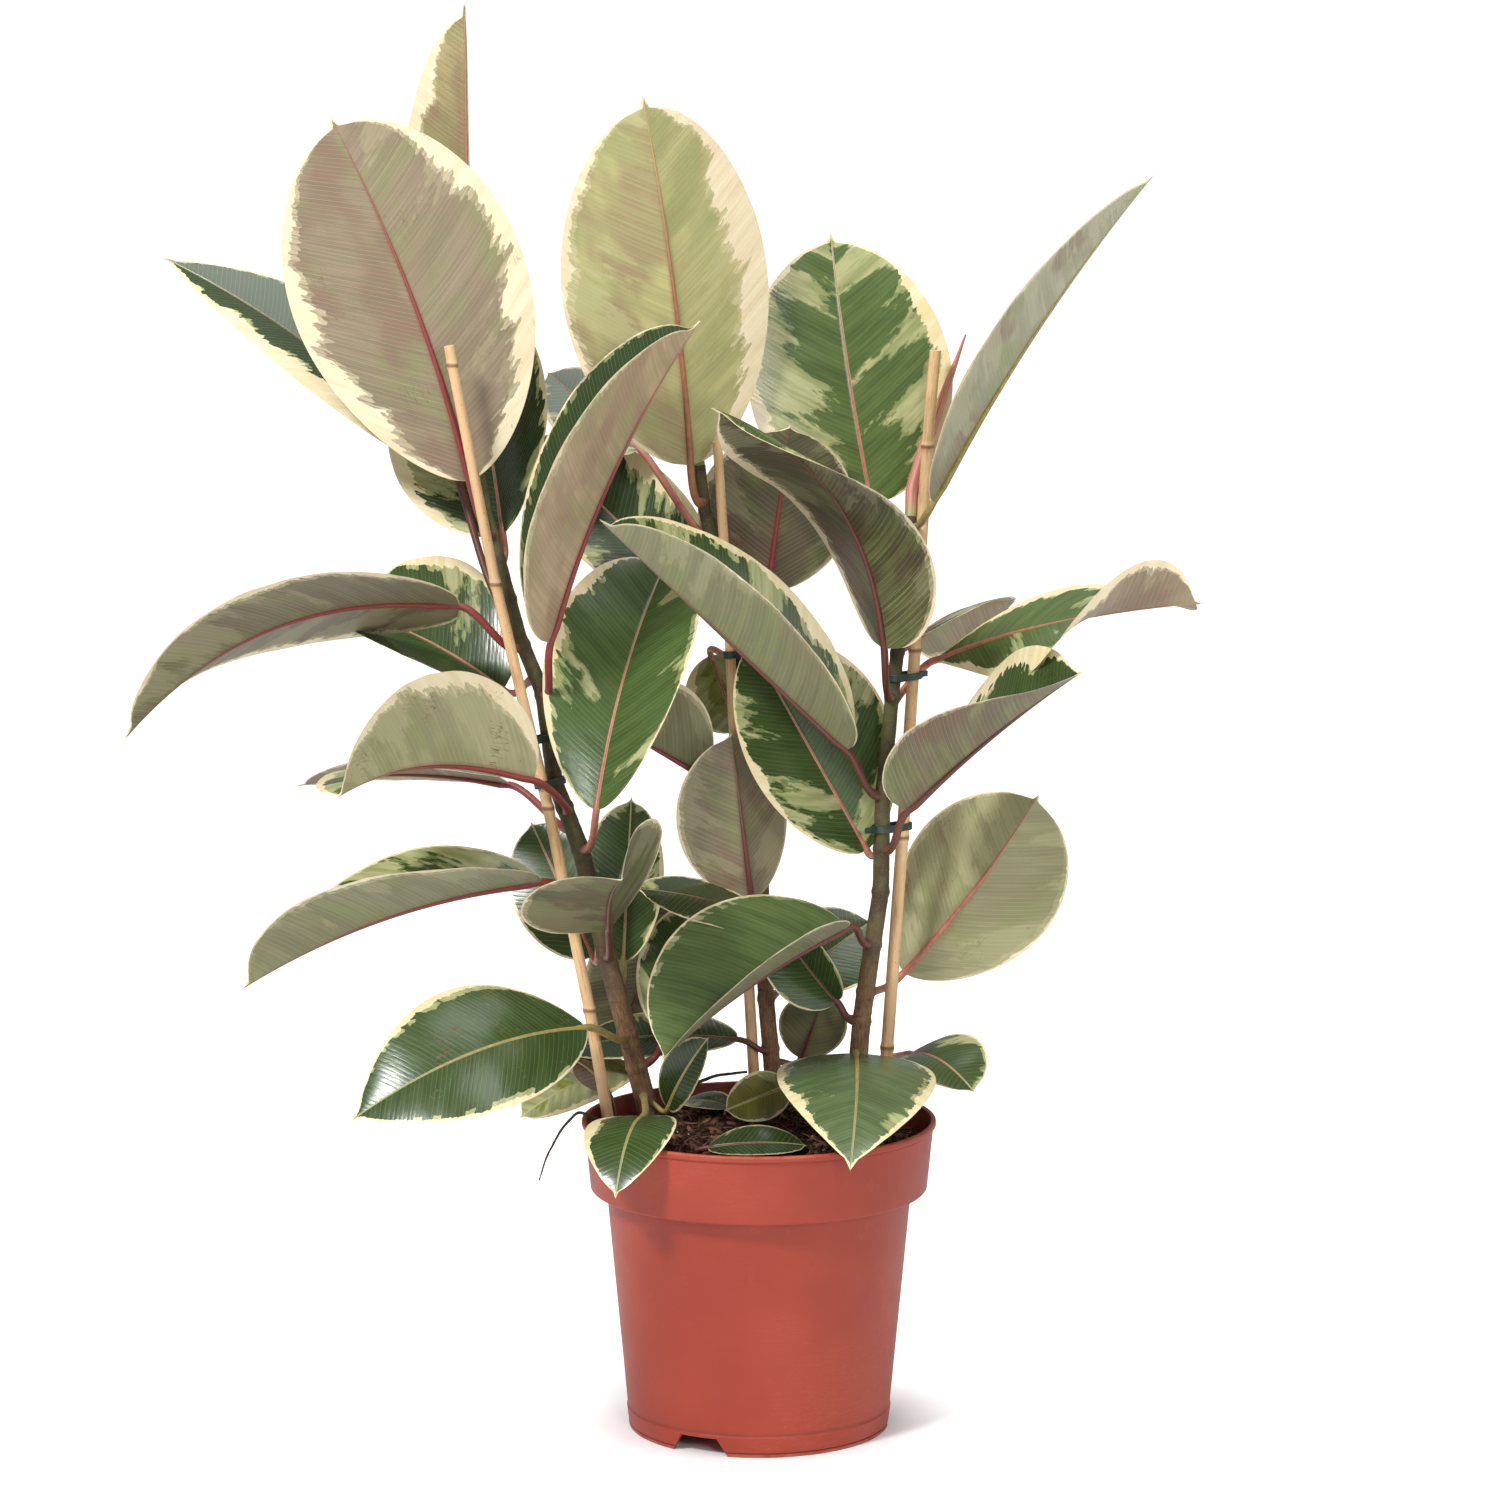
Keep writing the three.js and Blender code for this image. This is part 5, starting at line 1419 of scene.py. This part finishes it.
# %% Shell of the pot, cut
cutter = bmesh.new()
for first, last in blocks:
    low, high = [[cutter.verts.new(p) for p in ring] for ring in (first, last)]
    cutter.faces.new(low)
    cutter.faces.new(high)
    for i in range(len(low)):
        j = (i + 1) % len(low)
        cutter.faces.new((low[i], low[j], high[j], high[i]))
bmesh.ops.recalc_face_normals(cutter, faces=cutter.faces)
cutter_piece = new_object("pot_cutter", finished_mesh("pot_cutter", cutter))
shell = turned_shell(rounded(POT_PROFILE), POT_SEGMENTS)
nursery_pot = new_object("nursery_pot", finished_mesh("nursery_pot", shell))
cut = nursery_pot.modifiers.new("cut", "BOOLEAN")
cut.object = cutter_piece
cut.solver = "EXACT"
plain_mesh("nursery_pot", nursery_pot)
bpy.data.objects.remove(cutter_piece)
nursery_pot.data.shade_smooth()
sharpen(nursery_pot.data, 35)
print("pot faces:", len(nursery_pot.data.polygons))

# %% [markdown]
# ## Pot plastic
# Reddish brown nursery plastic has a satin sheen, faint rings from the mould, and fine scuffs and
# dust from handling. The edges of the lip and foot are rubbed a little paler. The inner wall is
# darkened with painted shade, and the two grooves of the foot with dirt and painted shade. Object
# coordinates, centred on the pot's axis by a Mapping node, give the rings as noise in height, and the
# scuffs as thin lines of stretched noise.

# %% Pot material
WALL_SLOPE = 0.098  # how far the inner wall of the band leans outwards for each metre up
pot_plastic, nodes, shader = new_material("satin terracotta plastic")
# The darkest red-brown is painted shade on the inner wall; the near-black one is dirt and painted shade in
# the foot's grooves
tones = palette(deep="#96301b", light="#a43b24", dust="#b04c37", scuff="#c46a52", worn="#c4705a",
                stain="#5a2118", dirt="#4a1f18")
centred = nodes.add("ShaderNodeMapping", inputs={"Vector": on_piece(nodes), "Location": -POT_AXIS})
x, y, z = centred.split()
rings = nodes.noise(nodes.join(x * 2, y * 2, z * 500), 1, 3, 0.6)
broad = nodes.noise(centred, 9, 3)
dust = nodes.noise(centred, 60, 6, 0.7)
grain = nodes.noise(centred, 1500, 2)
scuff_lines = nodes.noise(nodes.join(x * 18 + y * 9, y * 18, z * 160), 1, 4, 0.7)
scuffs = (1 - abs(scuff_lines - 0.5).rise(0.0, 0.012)) * broad.rise(0.48, 0.62)
plastic = nodes.mix(tones.deep, tones.light, broad.rise(0.35, 0.65))
plastic = nodes.mix(plastic, tones.dust, dust.rise(0.55, 0.75) * 0.3)
plastic = nodes.mix(plastic, tones.scuff, scuffs * 0.25)
# Heights below are in metres above the floor
worn = z.rise(0.2095, 0.2118).do("MAXIMUM", 1 - z.rise(0.0005, 0.004))
plastic = nodes.mix(plastic, tones.worn, worn * dust.rise(0.35, 0.6) * 0.5)
from_axis = nodes.join(x, y, 0).do("LENGTH")
# Painted shade darkens the inner wall of the band, in the dark red-brown listed as stain
painted_inner_shade = (1 - (from_axis - (z - 0.166) * WALL_SLOPE).rise(0.1129, 0.1134)) * z.rise(0.166, 0.17)
plastic = nodes.mix(plastic, tones.stain, painted_inner_shade * (0.45 + broad.rise(0.4, 0.6) * 0.3))
# Dirt and painted shade darken the two grooves of the foot
foot_line = z.rise(0.002, 0.0026) * (1 - z.rise(0.003, 0.0036))
ledge_line = z.rise(0.0138, 0.0145) * (1 - z.rise(0.0155, 0.0175))
dirt = foot_line.do("MAXIMUM", ledge_line * 0.4) * (0.35 + dust * 0.7)
plastic = nodes.mix(plastic, tones.dirt, dirt)
relief = rings * 0.5 + grain * 0.25 + dust * 0.3 - scuffs * 0.6
dress(nodes, shader, plastic, 0.36 + dust * 0.16 + scuffs * 0.15, relief, 0.3, 0.0004)
nursery_pot.data.materials.clear()
nursery_pot.data.materials.append(pot_plastic)
settle(nursery_pot, "pot_plastic", "pot")
print("pot plastic nodes:", len(pot_plastic.node_tree.nodes))

# %% [markdown]
# ## Potting soil
# Potting soil is a dark brown mix of peat crumbs, bark chips, pale fibres and a few light grains. Its
# surface is a low mound with lumps. The mound is a turned mesh raised by a height formula, and a
# Geometry Nodes tree strews crumbs, chips and fibres on it, because a bump alone would look flat near
# the rim.

# %% Soil material
soil_mix, nodes, shader = new_material("peat potting soil")
tones = palette(peat="#1c100c", clod="#44291d", crumb="#6c4630", chip="#7a5540")
clods = nodes.noise(on_piece(nodes), 150, 6, 0.7)
fine = nodes.noise(on_piece(nodes), 700, 4, 0.7)
earth = nodes.mix(tones.peat, tones.clod, clods.rise(0.35, 0.7))
earth = nodes.mix(earth, tones.crumb, fine.rise(0.58, 0.78) * 0.5)
earth = nodes.mix(earth, tones.chip, read(nodes, "tint", "Fac").rise(0.7, 1.0) * 0.6)
dress(nodes, shader, earth, 0.9, clods + fine, 0.8, 0.0015)
shader.inputs["Specular IOR Level"].default_value = 0.25
print("soil nodes:", len(soil_mix.node_tree.nodes))

# %% Materials of the bits in the soil
fibre_mix, nodes, shader = new_material("coir and bark bits")
tones = palette(dark="#3a2018", light="#8f5f42", fleck="#2c1a10")
straw = nodes.mix(tones.dark, tones.light, read(nodes, "tint", "Fac"))
straw = nodes.mix(straw, tones.fleck, nodes.noise(on_piece(nodes), 900, 2).rise(0.5, 0.7) * 0.5)
dress(nodes, shader, straw, 0.85)
print("coir and bark nodes:", len(fibre_mix.node_tree.nodes))

pale_mix, nodes, shader = new_material("pale grains")
tones = palette(dull="#b9ad97", pale="#e2dccb")
mottle = nodes.noise(on_piece(nodes), 500, 2)
dress(nodes, shader, nodes.mix(tones.dull, tones.pale, mottle.rise(0.35, 0.65)), 0.8)
print("grain nodes:", len(pale_mix.node_tree.nodes))

# %% Mound of soil
SOIL = {"edge": 196, "rise": 11, "spread": 68, "centre": (-5, 22), "lump": 1.6, "loose": 0.9}  # mm
SOIL_DIP = {"depth": 4, "from": 106, "over": 8}  # how the surface sinks towards the wall of the pot
SURFACE_RADII = [0, 4, *range(9, 100, 6), 104, 108, 111, 113.5]
SOIL_SEGMENTS = 96
LUMPS = (0.19, 0.23)  # how close the lumps lie, in radians for each mm to the right and to the back
SOIL_SIDE = [(112.5, 185), (111.5, 170), (101, 166), (87.1, 18), (85, 15.5), (0, 15.4)]


def soil_height(x, y):
    """Height of the soil's surface, in millimetres."""
    cx, cy = SOIL["centre"]
    mound = SOIL["rise"] * math.exp(-((x - cx) ** 2 + (y - cy) ** 2) / SOIL["spread"] ** 2)
    across, back = x * LUMPS[0], y * LUMPS[1]
    lumps = math.sin(across) * math.cos(back) + 0.5 * math.sin(2 * across + 1.5 * back)
    return SOIL["edge"] + mound + SOIL["lump"] * lumps


soil_profile = [Vector((r, SOIL["edge"])) for r in SURFACE_RADII] + [Vector(p) for p in SOIL_SIDE]
mound = turned_shell(soil_profile, SOIL_SEGMENTS)
clump = random.Random(11)
for vertex in mound.verts:
    x, y, z = vertex.co / MM - PLANT_SHIFT
    if z > SOIL["edge"] - 1:
        dip = SOIL_DIP["depth"] * max(0, (math.hypot(x, y) - SOIL_DIP["from"]) / SOIL_DIP["over"])
        vertex.co.z = (soil_height(x, y) + clump.uniform(-SOIL["loose"], SOIL["loose"]) - dip) * MM
soil_mesh = finished_mesh("soil_mound", mound)
soil_mesh.shade_smooth()
soil_mesh.materials.append(soil_mix)
settle(new_object("soil_mound", soil_mesh), "potting_soil", "soil")
print("soil in the middle stands", round(soil_height(0, 0)), "mm high,", len(soil_mesh.polygons), "faces")

# %% [markdown]
# ## Crumbs, chips and fibres
# One scatter tree strews small solids over the top of the mound. A bit is an icosphere of 20 faces,
# made uneven by noise, stretched for its kind and turned at random. Each kind has its own density,
# size, stretch and seed.

# %% The scatter tree
STREWN_REACH = 0.108  # metres from the pot's axis
SCATTER_SIZES = {
    "Density": "Float", "Least": "Float", "Most": "Float", "Stretch": "Vector", "Raise": "Float",
    "Seed": "Int", "Finish": "Material",
}
scatter_tree, nodes, given = new_tree("Scatter", SCATTER_SIZES)


def chance(nodes, low, high, seed, kind="FLOAT"):
    """A random number, or a vector, for each point."""
    first = {"FLOAT": 2, "FLOAT_VECTOR": 0}[kind]
    inputs = {first: low, first + 1: high, "Seed": seed}
    return nodes.add("FunctionNodeRandomValue", {"data_type": kind}, inputs, int(kind == "FLOAT"))


_, _, face_up = nodes.add("GeometryNodeInputNormal").split()
spot = nodes.add("GeometryNodeInputPosition")
reach_x, reach_y, _ = (spot - POT_AXIS).split()
reach = nodes.join(reach_x, reach_y, 0).do("LENGTH")
on_top = face_up.do("GREATER_THAN", 0.5) * reach.do("LESS_THAN", STREWN_REACH)
dots = nodes.add("GeometryNodeDistributePointsOnFaces", inputs={
    "Mesh": given["Geometry"], "Selection": on_top, "Density": given["Density"], "Seed": given["Seed"]})
dots = move_to(nodes, dots, spot + nodes.join(0, 0, given["Raise"]))
bit = nodes.add("GeometryNodeMeshIcoSphere", inputs={"Radius": 1, "Subdivisions": 1})
bit = move_to(nodes, bit, spot * (0.7 + 0.9 * nodes.noise(spot, 1.7, 1)) * given["Stretch"])
turn = chance(nodes, (-0.5, -0.5, 0), (0.5, 0.5, math.tau), 3, "FLOAT_VECTOR")
size = chance(nodes, given["Least"], given["Most"], 5)
strewn = nodes.add("GeometryNodeInstanceOnPoints", inputs={
    "Points": dots, "Instance": bit, "Rotation": nodes.add("FunctionNodeEulerToRotation", inputs={0: turn}),
    "Scale": nodes.join(size, size, size)})
strewn = store(nodes, strewn, "tint", chance(nodes, 0.0, 1.0, 7), "FLOAT", "INSTANCE")
end_tree(nodes, coat(nodes, strewn, given["Finish"]))
print("scatter tree nodes:", len(scatter_tree.nodes))

# %% Strewing the soil
FIRST_SEED = 40
RAISED = 0.3  # mm by which the bits stand out of the mound
BITS = {  # density for each square metre, least and most size in mm, stretch, finish
    "peat_crumbs": (60000, 0.8, 2.4, (1, 0.8, 0.7), soil_mix),
    "bark_chips": (7000, 1.6, 4.4, (1.8, 0.6, 0.3), fibre_mix),
    "coir_fibres": (16000, 2.5, 8.0, (1.6, 0.08, 0.06), fibre_mix),
    "pale_grains": (1500, 0.5, 1.1, (1, 0.9, 0.8), pale_mix),
}
for number, (name, (density, least, most, stretch, finish)) in enumerate(BITS.items()):
    values = {"Density": float(density), "Least": least * MM, "Most": most * MM, "Stretch": stretch,
              "Raise": RAISED * MM, "Seed": FIRST_SEED + number, "Finish": finish}
    piece = grow(name, scatter_tree, values, soil_mesh.copy())
    settle(piece, "potting_soil", "soil")
    print(name, len(piece.data.polygons), "faces")

# %% [markdown]
# ## Old root and twig
# A thin dead root hangs over the rim and a twig lies at the back. Both are rods that thin out along
# their route, with a dark, fibrous skin, so the rod tree makes them too.

# %% Root material
dead_root, nodes, shader = new_material("dead root")
tones = palette(dark="#2b2a1e", dry="#5f5138")
fibre = nodes.noise(on_rod(nodes, 4, 60), 1.5, 4)
dress(nodes, shader, nodes.mix(tones.dark, tones.dry, fibre.rise(0.35, 0.7)), 0.8, fibre, 0.7, 0.0005)
print("root nodes:", len(dead_root.node_tree.nodes))

# %% Root and twig
ROOT_STATION = 1.2  # mm
ROOTS = {  # route, first and last radius, in millimetres
    "hanging_root": ([(-92, 8, 194), (-108, -4, 211), (-122, -12, 219), (-133, -18, 208), (-143, -22, 190),
                      (-148, -24, 174)], 1.5, 0.5),
    "twig": ([(-66, 62, 199), (-54, 66, 217), (-30, 70, 226), (-8, 68, 229)], 1.6, 0.9),
}
for name, (route, thick, thin) in ROOTS.items():
    points = eased(filled(route, ROOT_STATION), 12)
    radii = [thick + (thin - thick) * i / (len(points) - 1) for i in range(len(points))]
    piece = make_rod(name, points, radii, dead_root, sides=10, unevenness=0.4, grain=500, seed=0.7)
    settle(piece, "potting_soil", "soil")
    print(name, "is", round(sum((b - a).length for a, b in zip(points, points[1:]))), "mm long")

# %% [markdown]
